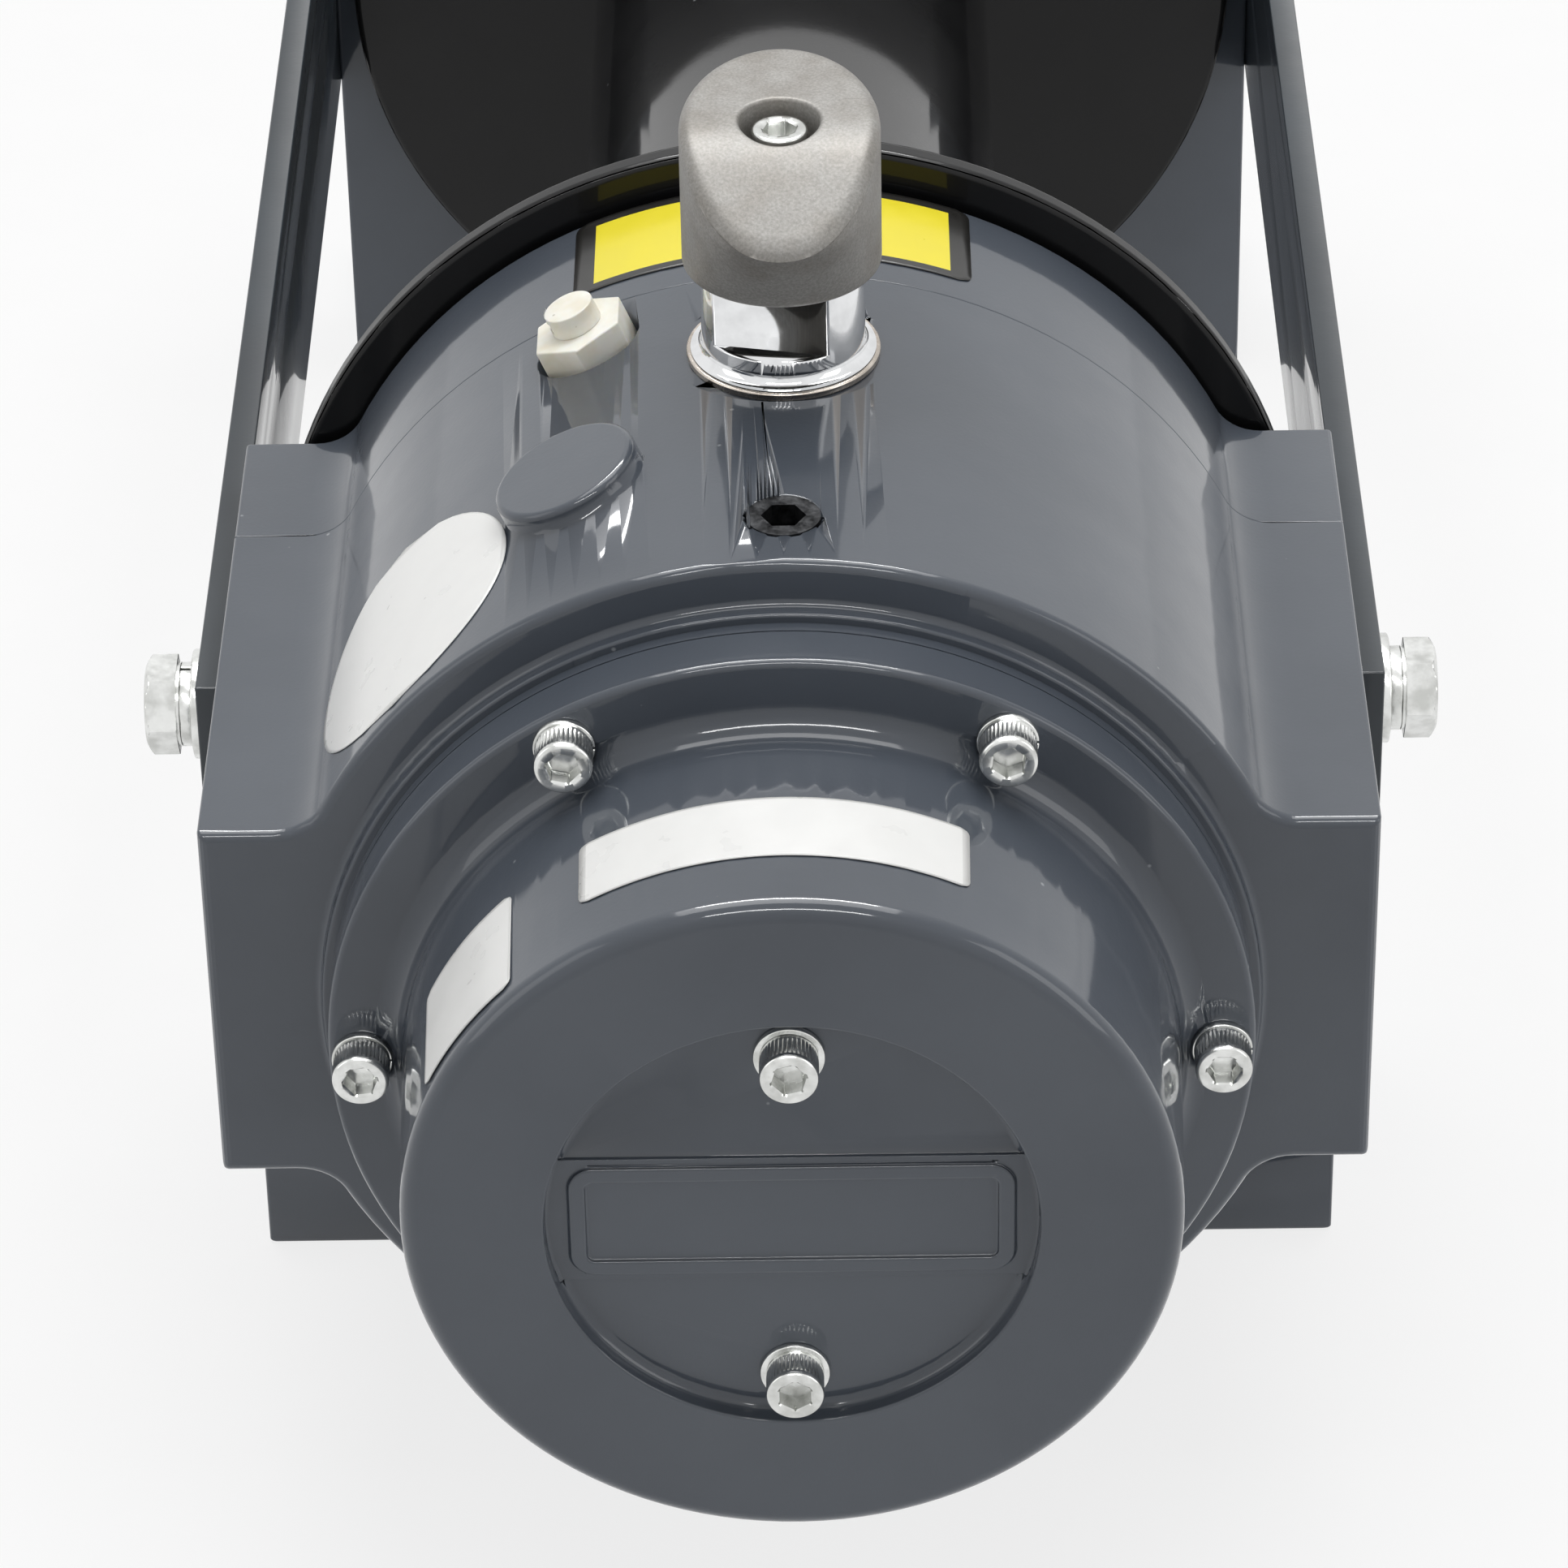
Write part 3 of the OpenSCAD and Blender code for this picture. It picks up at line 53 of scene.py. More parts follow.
METRE = 1000  # in millimetres: METRE / 13 is the scale of a pattern 13 mm wide
MIX_A, MIX_B, MIX_RESULT = 6, 7, 2  # the sockets of a Mix node that hold colours
WAVE_RADIANS = 20  # a Wave node's angle over one unit of its scaled place
NOISE_SPAN = {"From Min": 0.3, "From Max": 0.7}  # what a Noise node mostly gives

# Stations along the drum axis, heights and sizes that part.scad gives to the
# same pieces. Heights of the clutch and the handle count from the drum axis.
AXIS_H = 125.0
NOSE_Y = -385.6
COVER_FLANGE_Y = -326.5
HOUSING_Y = -308.7
BOSS_Y = HOUSING_Y + 45.5
CLUTCH_Y = -223.7
VENT_X = -41.5
VENT_Y = -207.0
SEAM_Y = -194.1
MOTOR_IN_Y = 154.9
MOTOR_OUT_Y = 194.1
CASTING_R = 106.9
BARREL_R = 50.8
DRUM_FLANGE_R = 115.2
HALF_W = 120.65
RAIL_T = 6.35
SPOT_R = 22.8
SLEEVE_R = 17.1
SLEEVE_WASHER_R = 20.3
SLEEVE_ROOT_H = 107.0
HANDLE_LOW_H = 127.5
HANDLE_SEAT_H = 151.0
SCREW_D = 7.94
SCREW_HEAD_D = 11.7
SCREW_HEAD_H = 7.3
SCREW_HEX = 6.35
COVER_SCREW_R = 88.0
COVER_SCREW_REACH = 27.0
COVER_WASHER_T = 1.6
FACE_SCREW_R = 39.4
FACE_SCREW_LEN = 8.8
FACE_WASHER_Y = NOSE_Y + 4.6 - 1.4  # in front of the washers in the recess
HANDLE_SCREW_LEN = 22.0
RAIL_BOLT_D = 12.0
RAIL_BOLT_FLATS = 19.0
RAIL_BOLT_HEAD_H = 7.5
RAIL_BOLT_LEN = 30.0
RAIL_BOLT_Z = 12.7
RAIL_BOLT_BACK = 19.6
RAIL_WASHERS_T = 5.5


# ------------------------------------------------------------------ camera


def in_scene(name, data):
    """A new object that holds the data, linked to the scene."""
    thing = bpy.data.objects.new(name, data)
    bpy.context.scene.collection.objects.link(thing)
    return thing


def photo_camera():
    """The camera found from the circles, rails and screws of the photograph,
    whose pixels its focal length and shift are given in."""
    photo_px, focal_px, shift_px, sensor = 1932, 8226.74, -16.48, 36
    away = 1329.24
    elevation, yaw, roll = map(math.radians, (34.06, 0.66, 1.14))
    back = Vector((
        math.sin(yaw) * math.cos(elevation),
        -math.cos(yaw) * math.cos(elevation),
        math.sin(elevation),
    ))
    # the point that the camera turns about and stands away from
    target = Vector((-0.50, 60 + NOSE_Y, 68.68 + AXIS_H)) * MM
    right = (-back).cross(Vector((0, 0, 1))).normalized()
    up = right.cross(-back)
    turned_right = right * math.cos(roll) - up * math.sin(roll)
    turned_up = right * math.sin(roll) + up * math.cos(roll)
    data = bpy.data.cameras.new("photo_camera")
    data.sensor_width = sensor
    data.lens = focal_px / photo_px * sensor
    data.shift_y = shift_px / photo_px
    data.clip_end = 20
    camera = in_scene("photo_camera", data)
    turn = Matrix((turned_right, turned_up, back)).transposed()
    camera.matrix_world = Matrix.Translation(target + back * away * MM) @ turn.to_4x4()
    bpy.context.scene.camera = camera


photo_camera()


# --------------------------------------------------------------- materials


def linear(colour):
    """sRGB hex to linear red, green, blue, alpha."""
    parts = [int(colour[i : i + 2], 16) / 255 for i in (1, 3, 5)]
    return [p / 12.92 if p < 0.04045 else ((p + 0.055) / 1.055) ** 2.4 for p in parts] + [1]


def add_node(tree, kind, settings):
    """Adds a node, or takes one that is there, and gives it its settings. A key
    is a property, a socket's name or a socket's number; a value that is another
    node's output makes a link, and stops are a ramp's (place, hex colour)."""
    node = tree.nodes.new(kind) if isinstance(kind, str) else kind
    for key, value in settings.items():
        if key == "stops":
            bar = node.color_ramp.elements
            while len(bar) < len(value):
                bar.new(0.5)
            for stop, (position, colour) in zip(bar, value):
                stop.position, stop.color = position, linear(colour)
        elif isinstance(value, bpy.types.NodeSocket):
            tree.links.new(value, node.inputs[key])
        elif isinstance(key, str) and hasattr(node, key):
            setattr(node, key, value)
        else:
            node.inputs[key].default_value = value
    return node.outputs


def new_material(name):
    """An empty material; returns it, its tree, its shader and Object coordinates."""
    material = bpy.data.materials.new(name)
    material.use_nodes = True
    tree = material.node_tree
    place = add_node(tree, "ShaderNodeTexCoord", {})["Object"]
    return material, tree, tree.nodes["Principled BSDF"], place


def sprayed_enamel(name, shades, gloss, mirror, skin):
    """Gloss enamel sprayed over a sand casting or a bar. The eye sees a deep
    coat that mirrors lamps and screws, orange peel drawn 2.5 mm wide so that it
    shows, slow waves of the casting under it and a few dust nibs. Gloss is the
    coat's weight, mirror its IOR and skin the height of the relief."""
    material, tree, shader, place = new_material(name)
    drift = add_node(tree, "ShaderNodeTexNoise", {
        "Vector": place, "Scale": METRE / 60, "Detail": 4.0})
    tone = add_node(tree, "ShaderNodeValToRGB", {
        "Fac": drift["Fac"], "stops": list(zip((0.32, 0.5, 0.7), shades))})
    cells = add_node(tree, "ShaderNodeTexVoronoi", {"Vector": place, "Scale": METRE / 13})
    chosen = add_node(tree, "ShaderNodeMath", {
        "operation": "GREATER_THAN", 0: cells["Color"], 1: 0.62})
    dot = add_node(tree, "ShaderNodeMapRange", {
        "Value": cells["Distance"], "From Min": 0.02, "From Max": 0.045,
        "To Min": 0.55, "To Max": 0.0})
    nib = add_node(tree, "ShaderNodeMath", {
        "operation": "MULTIPLY", 0: dot["Result"], 1: chosen["Value"]})
    dusty = add_node(tree, "ShaderNodeMix", {
        "data_type": "RGBA", 0: nib["Value"], MIX_A: tone["Color"],
        MIX_B: linear("#AEB2B5")})
    cloud = add_node(tree, "ShaderNodeTexNoise", {
        "Vector": place, "Scale": METRE / 16, "Detail": 3.0})
    sheen = add_node(tree, "ShaderNodeMapRange", {
        "Value": cloud["Fac"], **NOISE_SPAN,
        "To Min": 0.34, "To Max": 0.46})
    slow = add_node(tree, "ShaderNodeTexNoise", {
        "Vector": place, "Scale": METRE / 34, "Detail": 2.0})
    wave = add_node(tree, "ShaderNodeBump", {
        "Strength": 1.0, "Distance": 0.3 * skin * MM, "Height": slow["Fac"]})
    peel_cells = add_node(tree, "ShaderNodeTexNoise", {
        "Vector": place, "Scale": METRE / 2.5, "Detail": 1.5})
    peel = add_node(tree, "ShaderNodeBump", {
        "Strength": 1.0, "Distance": 0.009 * skin * MM, "Height": peel_cells["Fac"],
        "Normal": wave["Normal"]})
    sand = add_node(tree, "ShaderNodeTexNoise", {
        "Vector": place, "Scale": METRE / 1.1, "Detail": 4.0, "Roughness": 0.6})
    grit = add_node(tree, "ShaderNodeBump", {
        "Strength": 1.0, "Distance": 0.05 * skin * MM, "Height": sand["Fac"],
        "Normal": peel["Normal"]})
    add_node(tree, shader, {
        "Base Color": dusty[MIX_RESULT], "Roughness": sheen["Result"],
        "Normal": grit["Normal"], "Coat Normal": peel["Normal"],
        "Coat Weight": gloss, "Coat Roughness": 0.07,
        "Coat IOR": mirror, "Specular IOR Level": 0.12})
    return material


def plated_steel(name, light, dark, roughness, grain):
    """Bright zinc plate on cold headed steel, or chrome on turned steel: clean
    sharp reflections, slightly dimmed in small clouds, over a fine grain."""
    material, tree, shader, place = new_material(name)
    cloud = add_node(tree, "ShaderNodeTexNoise", {
        "Vector": place, "Scale": METRE / 5, "Detail": 4.0})
    tone = add_node(tree, "ShaderNodeValToRGB", {
        "Fac": cloud["Fac"], "stops": [(0.34, dark), (0.6, light)]})
    fine = add_node(tree, "ShaderNodeTexNoise", {
        "Vector": place, "Scale": METRE / 1.5, "Detail": 3.0})
    sheen = add_node(tree, "ShaderNodeMapRange", {
        "Value": fine["Fac"], **NOISE_SPAN,
        "To Min": roughness * 0.75, "To Max": roughness * 1.3})
    crystals = add_node(tree, "ShaderNodeTexNoise", {
        "Vector": place, "Scale": METRE / 0.6, "Detail": 2.0})
    relief = add_node(tree, "ShaderNodeBump", {
        "Strength": 1.0, "Distance": grain * MM, "Height": crystals["Fac"]})
    add_node(tree, shader, {
        "Base Color": tone["Color"], "Roughness": sheen["Result"],
        "Normal": relief["Normal"], "Metallic": 1.0})
    return material


def turned_steel(name, light, dark, roughness):
    """Steel turned and ground round the drum axis. The tool's rings are some
    0.2 mm apart and are drawn 5 mm apart so that they show, which is 0.8 mm to
    a radian of their wave; an oil film varies the gloss."""
    material, tree, shader, place = new_material(name)
    centred = add_node(tree, "ShaderNodeMapping", {
        "Vector": place, "Location": (0, 0, -AXIS_H * MM)})
    rings = add_node(tree, "ShaderNodeTexWave", {
        "Vector": centred["Vector"], "wave_type": "RINGS", "rings_direction": "Y",
        "Scale": METRE / 0.8 / WAVE_RADIANS, "Distortion": 0.4, "Detail": 1.0})
    film = add_node(tree, "ShaderNodeTexNoise", {
        "Vector": place, "Scale": METRE / 12, "Detail": 5.0, "Roughness": 0.6})
    tone = add_node(tree, "ShaderNodeValToRGB", {
        "Fac": film["Fac"], "stops": [(0.3, dark), (0.65, light)]})
    sheen = add_node(tree, "ShaderNodeMapRange", {
        "Value": film["Fac"], **NOISE_SPAN,
        "To Min": roughness - 0.06, "To Max": roughness + 0.1})
    relief = add_node(tree, "ShaderNodeBump", {
        "Strength": 1.0, "Distance": 0.006 * MM, "Height": rings["Fac"]})
    add_node(tree, shader, {
        "Base Color": tone["Color"], "Roughness": sheen["Result"],
        "Normal": relief["Normal"], "Metallic": 1.0})
    return material


def blasted_casting(name):
    """Stainless investment casting, bead blasted: an even satin with a grain
    of 0.3 mm drawn 0.6 mm wide so that it shows, soft stains and rare pits."""
    material, tree, shader, place = new_material(name)
    fine = add_node(tree, "ShaderNodeTexNoise", {
        "Vector": place, "Scale": METRE / 0.6, "Detail": 3.0, "Roughness": 0.6})
    stain = add_node(tree, "ShaderNodeTexNoise", {
        "Vector": place, "Scale": METRE / 11, "Detail": 4.0})
    tone = add_node(tree, "ShaderNodeValToRGB", {
        "Fac": fine["Fac"],
        "stops": [(0.3, "#807E7A"), (0.5, "#8E8C88"), (0.72, "#9C9A96")]})
    shade = add_node(tree, "ShaderNodeValToRGB", {
        "Fac": stain["Fac"], "stops": [(0.3, "#E3DFDA"), (0.6, "#FFFFFF")]})
    mixed = add_node(tree, "ShaderNodeMix", {
        "data_type": "RGBA", "blend_type": "MULTIPLY", 0: 1.0,
        MIX_A: tone["Color"], MIX_B: shade["Color"]})
    pit_cells = add_node(tree, "ShaderNodeTexVoronoi", {"Vector": place, "Scale": METRE / 3.5})
    pits = add_node(tree, "ShaderNodeMapRange", {
        "Value": pit_cells["Distance"], "From Min": 0.03, "From Max": 0.12,
        "To Min": 0.0, "To Max": 1.0})
    pitted = add_node(tree, "ShaderNodeBump", {
        "Strength": 0.5, "Distance": 0.04 * MM, "Height": pits["Result"]})
    lumps = add_node(tree, "ShaderNodeTexNoise", {
        "Vector": place, "Scale": METRE / 6, "Detail": 3.0})
    lumpy = add_node(tree, "ShaderNodeBump", {
        "Strength": 1.0, "Distance": 0.12 * MM, "Height": lumps["Fac"],
        "Normal": pitted["Normal"]})
    grain = add_node(tree, "ShaderNodeBump", {
        "Strength": 1.0, "Distance": 0.03 * MM, "Height": fine["Fac"],
        "Normal": lumpy["Normal"]})
    sheen = add_node(tree, "ShaderNodeMapRange", {
        "Value": stain["Fac"], **NOISE_SPAN,
        "To Min": 0.44, "To Max": 0.56})
    add_node(tree, shader, {
        "Base Color": mixed[MIX_RESULT], "Roughness": sheen["Result"],
        "Normal": grain["Normal"], "Metallic": 0.25})
    return material


def moulded_nylon(name, light, dark):
    """Natural nylon, injection moulded: waxy, yellowish white, a little
    translucent at its edges, with flow marks and a few dark specks."""
    material, tree, shader, place = new_material(name)
    flow = add_node(tree, "ShaderNodeTexNoise", {
        "Vector": place, "Scale": METRE / 7, "Detail": 4.0})
    tone = add_node(tree, "ShaderNodeValToRGB", {
        "Fac": flow["Fac"], "stops": [(0.32, dark), (0.62, light)]})
    cells = add_node(tree, "ShaderNodeTexVoronoi", {"Vector": place, "Scale": METRE / 5})
    speck = add_node(tree, "ShaderNodeMapRange", {
        "Value": cells["Distance"], "From Min": 0.04, "From Max": 0.09,
        "To Min": 0.6, "To Max": 0.0})
    marked = add_node(tree, "ShaderNodeMix", {
        "data_type": "RGBA", 0: speck["Result"], MIX_A: tone["Color"],
        MIX_B: linear("#8A8371")})
    sheen = add_node(tree, "ShaderNodeMapRange", {
        "Value": flow["Fac"], **NOISE_SPAN,
        "To Min": 0.3, "To Max": 0.46})
    skin = add_node(tree, "ShaderNodeTexNoise", {
        "Vector": place, "Scale": METRE / 1.3, "Detail": 3.0})
    relief = add_node(tree, "ShaderNodeBump", {
        "Strength": 1.0, "Distance": 0.02 * MM, "Height": skin["Fac"]})
    add_node(tree, shader, {
        "Base Color": marked[MIX_RESULT], "Roughness": sheen["Result"],
        "Normal": relief["Normal"], "IOR": 1.53, "Subsurface Weight": 0.3,
        "Subsurface Radius": (1.0, 0.75, 0.45), "Subsurface Scale": 0.003})
    return material


def dark_finish(name, light, dark, metallic, roughness, relief_mm):
    """Black oxide, seal rubber or bearing bronze: two close tones in a small
    mottle, gloss that drifts with it and a fine tooth."""
    material, tree, shader, place = new_material(name)
    mottle = add_node(tree, "ShaderNodeTexNoise", {
        "Vector": place, "Scale": METRE / 2.2, "Detail": 5.0, "Roughness": 0.65})
    tone = add_node(tree, "ShaderNodeValToRGB", {
        "Fac": mottle["Fac"], "stops": [(0.33, dark), (0.67, light)]})
    sheen = add_node(tree, "ShaderNodeMapRange", {
        "Value": mottle["Fac"], **NOISE_SPAN,
        "To Min": roughness - 0.08, "To Max": roughness + 0.08})
    tooth = add_node(tree, "ShaderNodeTexNoise", {
        "Vector": place, "Scale": METRE / 0.7, "Detail": 3.0})
    relief = add_node(tree, "ShaderNodeBump", {
        "Strength": 1.0, "Distance": relief_mm * MM, "Height": tooth["Fac"]})
    add_node(tree, shader, {
        "Base Color": tone["Color"], "Roughness": sheen["Result"],
        "Normal": relief["Normal"], "Metallic": metallic})
    return material


def blank_vinyl(name, field, border, rim_u, rim_v):
    """Polyester label with a clear gloss face, blank but for a plain border.
    The border is read from the label's own UV map; faint waves come from the
    casting under it."""
    material, tree, shader, place = new_material(name)
    own = add_node(tree, "ShaderNodeTexCoord", {})["UV"]
    split = add_node(tree, "ShaderNodeSeparateXYZ", {"Vector": own})
    edges = []
    for axis, rim in (("X", rim_u), ("Y", rim_v)):
        centred = add_node(tree, "ShaderNodeMath", {
            "operation": "SUBTRACT", 0: split[axis], 1: 0.5})
        apart = add_node(tree, "ShaderNodeMath", {"operation": "ABSOLUTE", 0: centred["Value"]})
        edges.append(add_node(tree, "ShaderNodeMath", {
            "operation": "GREATER_THAN", 0: apart["Value"], 1: 0.5 - rim})["Value"])
    outside = add_node(tree, "ShaderNodeMath", {
        "operation": "MAXIMUM", 0: edges[0], 1: edges[1]})
    ink = add_node(tree, "ShaderNodeTexNoise", {
        "Vector": place, "Scale": METRE / 9, "Detail": 3.0})
    shade = add_node(tree, "ShaderNodeValToRGB", {
        "Fac": ink["Fac"], "stops": [(0.3, "#FCFCFC"), (0.65, "#FFFFFF")]})
    bare = add_node(tree, "ShaderNodeMix", {
        "data_type": "RGBA", 0: outside["Value"], MIX_A: linear(field),
        MIX_B: linear(border)})
    printed = add_node(tree, "ShaderNodeMix", {
        "data_type": "RGBA", "blend_type": "MULTIPLY", 0: 1.0,
        MIX_A: bare[MIX_RESULT], MIX_B: shade["Color"]})
    sheen = add_node(tree, "ShaderNodeMapRange", {
        "Value": ink["Fac"], **NOISE_SPAN,
        "To Min": 0.26, "To Max": 0.38})
    ripple = add_node(tree, "ShaderNodeTexNoise", {
        "Vector": place, "Scale": METRE / 14, "Detail": 2.0})
    relief = add_node(tree, "ShaderNodeBump", {
        "Strength": 1.0, "Distance": 0.005 * MM, "Height": ripple["Fac"]})
    add_node(tree, shader, {
        "Base Color": printed[MIX_RESULT], "Roughness": sheen["Result"],
        "Normal": relief["Normal"], "Coat Weight": 0.15, "Coat Roughness": 0.12})
    return material


GREY = sprayed_enamel("slate_grey_enamel", ("#454B54", "#4A5059", "#4E545D"), 1.0, 1.47, 0.8)
# Painted shade: the rails carry the castings' slate grey enamel drawn darker, for the dimmer light
# that falls along the rails.
SHADED_BAR_GREY = sprayed_enamel(
    "slate_grey_enamel_on_bar_with_painted_shade", ("#31363B", "#353B40", "#394046"), 0.8, 1.4, 0.5)
DRUM_BLACK = sprayed_enamel(
    "black_drum_enamel", ("#0A0A0B", "#0C0C0D", "#0F0F11"), 0.5, 1.4, 0.6)
BARREL_BLACK = sprayed_enamel(
    "glossy_black_barrel_enamel", ("#0B0B0C", "#0D0D0E", "#101012"), 1.0, 1.65, 0.3)
MOTOR_BLACK = sprayed_enamel(
    "black_motor_enamel", ("#17181A", "#1B1C1F", "#222327"), 0.8, 1.42, 1.2)
FINISH = {
    "grey_paint": GREY,
    "black_drum_paint": DRUM_BLACK,
    "zinc_steel": plated_steel("zinc_plated_steel", "#E2E3E1", "#C4C5C2", 0.2, 0.008),
    "bronze": dark_finish("bearing_bronze", "#B98F4E", "#7A5A2C", 1.0, 0.34, 0.02),
    "black_oxide_steel": dark_finish("black_oxide_steel", "#4A4B4D", "#1F2022", 0.85, 0.35, 0.015),
    "seal_rubber": dark_finish("nitrile_rubber", "#27292B", "#17181A", 0.0, 0.6, 0.02),
    "machined_steel": turned_steel("turned_gear_steel", "#A9AAAC", "#77787A", 0.3),
    "plated_sleeve": plated_steel("chromed_steel", "#E6E7E8", "#DADBDC", 0.07, 0.001),
    "cast_handle": blasted_casting("bead_blasted_stainless"),
    "white_nylon": moulded_nylon("natural_nylon", "#FBF9F0", "#EFE9D6"),
    "motor_paint": MOTOR_BLACK,
}
WASHER_STEEL = plated_steel("stainless_washer", "#C9C1B8", "#ABA298", 0.24, 0.006)
YELLOW_LABEL = blank_vinyl("yellow_label_vinyl", "#F2E230", "#1C1B19", 0.055, 0.09)
WHITE_LABEL = blank_vinyl("white_label_vinyl", "#F0F0EE", "#DCDCDA", 0.02, 0.03)


# ------------------------------------------------------------------ meshes


def add_piece(name, mesh, body, slot=None, material=None):
    """Puts a mesh in the scene on a body, in the finish of a material slot or
    in a material of its own."""
    piece = in_scene(name, mesh)
    mesh.materials.append(material or FINISH[slot])
    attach(piece, body)
    return piece


def mesh_of(name, points, faces, sharp=35):
    """A mesh from points in millimetres, smooth but for its sharp edges."""
    mesh = bpy.data.meshes.new(name)
    mesh.from_pydata((points.reshape(-1, 3) * MM).tolist(), [], faces)
    mesh.shade_smooth()
    mesh.set_sharp_from_angle(angle=math.radians(sharp))
    return mesh


def quads(rows, cols, wrap_rows, wrap_cols):
    """Quads between neighbours of a grid of points, wrapped where it closes."""
    r, c = np.meshgrid(
        np.arange(rows if wrap_rows else rows - 1),
        np.arange(cols if wrap_cols else cols - 1), indexing="ij")
    up, on = (r + 1) % rows, (c + 1) % cols
    return np.stack(
        [r * cols + c, r * cols + on, up * cols + on, up * cols + c], -1).reshape(-1, 4).tolist()


def closed_turning(radius, height):
    """Points and faces of a solid of revolution: row i has the radii radius[i]
    round Z at height[i], and a pole closes the first and the last row."""
    radius = np.stack(np.broadcast_arrays(*radius))
    rows, turns = radius.shape
    angle = np.arange(turns) * 2 * math.pi / turns
    tall = np.repeat(np.asarray(height, float)[:, None], turns, 1)
    points = np.stack([radius * np.cos(angle), radius * np.sin(angle), tall], -1)
    poles = [[0, 0, height[0]], [0, 0, height[-1]]]
    here = np.arange(turns)
    on = (here + 1) % turns
    last = (rows - 1) * turns
    low = np.stack([on, here, np.full(turns, rows * turns)], -1)
    high = np.stack([last + here, last + on, np.full(turns, rows * turns + 1)], -1)
    faces = quads(rows, turns, False, True) + low.tolist() + high.tolist()
    return np.vstack([points.reshape(-1, 3), poles]), faces


def set_down(points, origin, along, across):
    """Moves points from their own axes to an origin, a Z and an X direction."""
    along, across = np.asarray(along, float), np.asarray(across, float)
    return np.asarray(origin) + points @ np.stack([across, np.cross(along, across), along])


def many(pairs):
    """Joins (points, faces) pairs into one pair."""
    points, faces, start = [], [], 0
    for some, sides in pairs:
        points.append(some)
        faces += [[i + start for i in side] for side in sides]
        start += len(some)
    return np.vstack(points), faces


def hexagon(angle, flats):
    """Distance to a hexagon's edge at an angle; corners lie at 0, 60 ..."""
    return flats / 2 / np.cos(angle % (math.pi / 3) - math.pi / 6)


def cap_screw(length):
    """Socket cap screw, head above zero: a knurled wall of straight grooves
    (the radius waves by a small cosine, once a groove), a rim rounded by an
    arc, a hexagon socket with a flat floor."""
    grooves, depth, rim = 42, 0.16, 0.8
    turns = 4 * grooves
    angle = np.arange(turns) * 2 * math.pi / turns
    r, h = SCREW_HEAD_D / 2, SCREW_HEAD_H
    knurl = r - depth + depth * np.cos(grooves * angle)
    socket = hexagon(angle, SCREW_HEX)
    bend = np.radians([15, 40, 65, 90])
    flat = np.zeros(turns)
    # from the point: shank, bearing face, plain foot, knurl, rim, socket
    radius = [flat + SCREW_D / 2 - 0.7, flat + SCREW_D / 2, flat + SCREW_D / 2,
              flat + r - 0.3, flat + r, flat + r - 0.05, knurl, knurl, flat + r - 0.05]
    height = [-length, -length + 0.7, 0, 0, 0.3, 0.9, 1.2, h - 1.9, h - 1.6]
    radius += [flat + r - rim + rim * math.cos(b) for b in bend]
    height += [h - rim + rim * math.sin(b) for b in bend]
    radius += [flat + SCREW_HEX / 2 * 1.2, socket, socket, socket * 0.96]
    height += [h, h - 0.35, h - 3.8, h - 4.0]
    return closed_turning(radius, height)


def hex_bolt(diameter, flats, head_h, length):
    """Hexagon head bolt, head above zero: washer face, six flats and a cone of
    30 degrees that rounds the corners of the top."""
    turns = 96
    angle = np.arange(turns) * 2 * math.pi / turns
    side = hexagon(angle, flats)
    flat = np.zeros(turns)
    chamfer = np.linspace(head_h - 1.5, head_h, 7)
    # from the point: shank, washer face, flats, cone, dished top
    radius = [flat + diameter / 2 - 0.9, flat + diameter / 2, flat + diameter / 2,
              flat + flats / 2 - 0.3, flat + flats / 2 - 0.3, side - 0.15, side]
    height = [-length, -length + 0.9, 0, 0, 0.6, 0.6, 0.75]
    radius += [np.minimum(side, 0.47 * flats + 1.73 * (head_h - z)) for z in chamfer]
    height += chamfer.tolist()
    radius += [flat + 0.44 * flats, flat + 0.3 * flats]
    height += [head_h, head_h - 0.12]
    return closed_turning(radius, height)


def tube(radius, low=-400, high=400):
    """A wall parallel to the axis, as long as the whole part unless said."""
    return radius, low, radius, high


def turned_form(origin, direction, *profile):
    """A surface of revolution known exactly: a point of its axis, the axis'
    direction, and pieces of profile. A straight piece is the radius and height
    of its ends (r1, h1, r2, h2), an arc that of its centre and its own radius
    (r0, h0, rho). The form measures points: for each piece their gap to it and
    its normal there."""
    slack, not_on_it = 0.05, 9.0
    origin, direction = np.asarray(origin, float), np.asarray(direction, float)
    direction = direction / np.linalg.norm(direction)

    def measure(points):
        offset = points - origin
        height = offset @ direction
        away = offset - height[:, None] * direction
        radius = np.linalg.norm(away, axis=1)
        away = away / np.maximum(radius, 1e-9)[:, None]
        for piece in profile:
            if len(piece) == 4:
                dr, dh = piece[2] - piece[0], piece[3] - piece[1]
                length = math.hypot(dr, dh)
                nr, nh = dh / length, -dr / length
                gap = np.abs((radius - piece[0]) * nr + (height - piece[1]) * nh)
                along = ((radius - piece[0]) * dr + (height - piece[1]) * dh) / length
                gap = np.where((along > -slack) & (along < length + slack), gap, not_on_it)
                yield gap, away * nr + direction * nh
            else:
                er, eh = radius - piece[0], height - piece[1]
                far = np.maximum(np.hypot(er, eh), 1e-9)
                yield np.abs(far - piece[2]), away * (er / far)[:, None] + direction * (
                    eh / far)[:, None]

    return measure


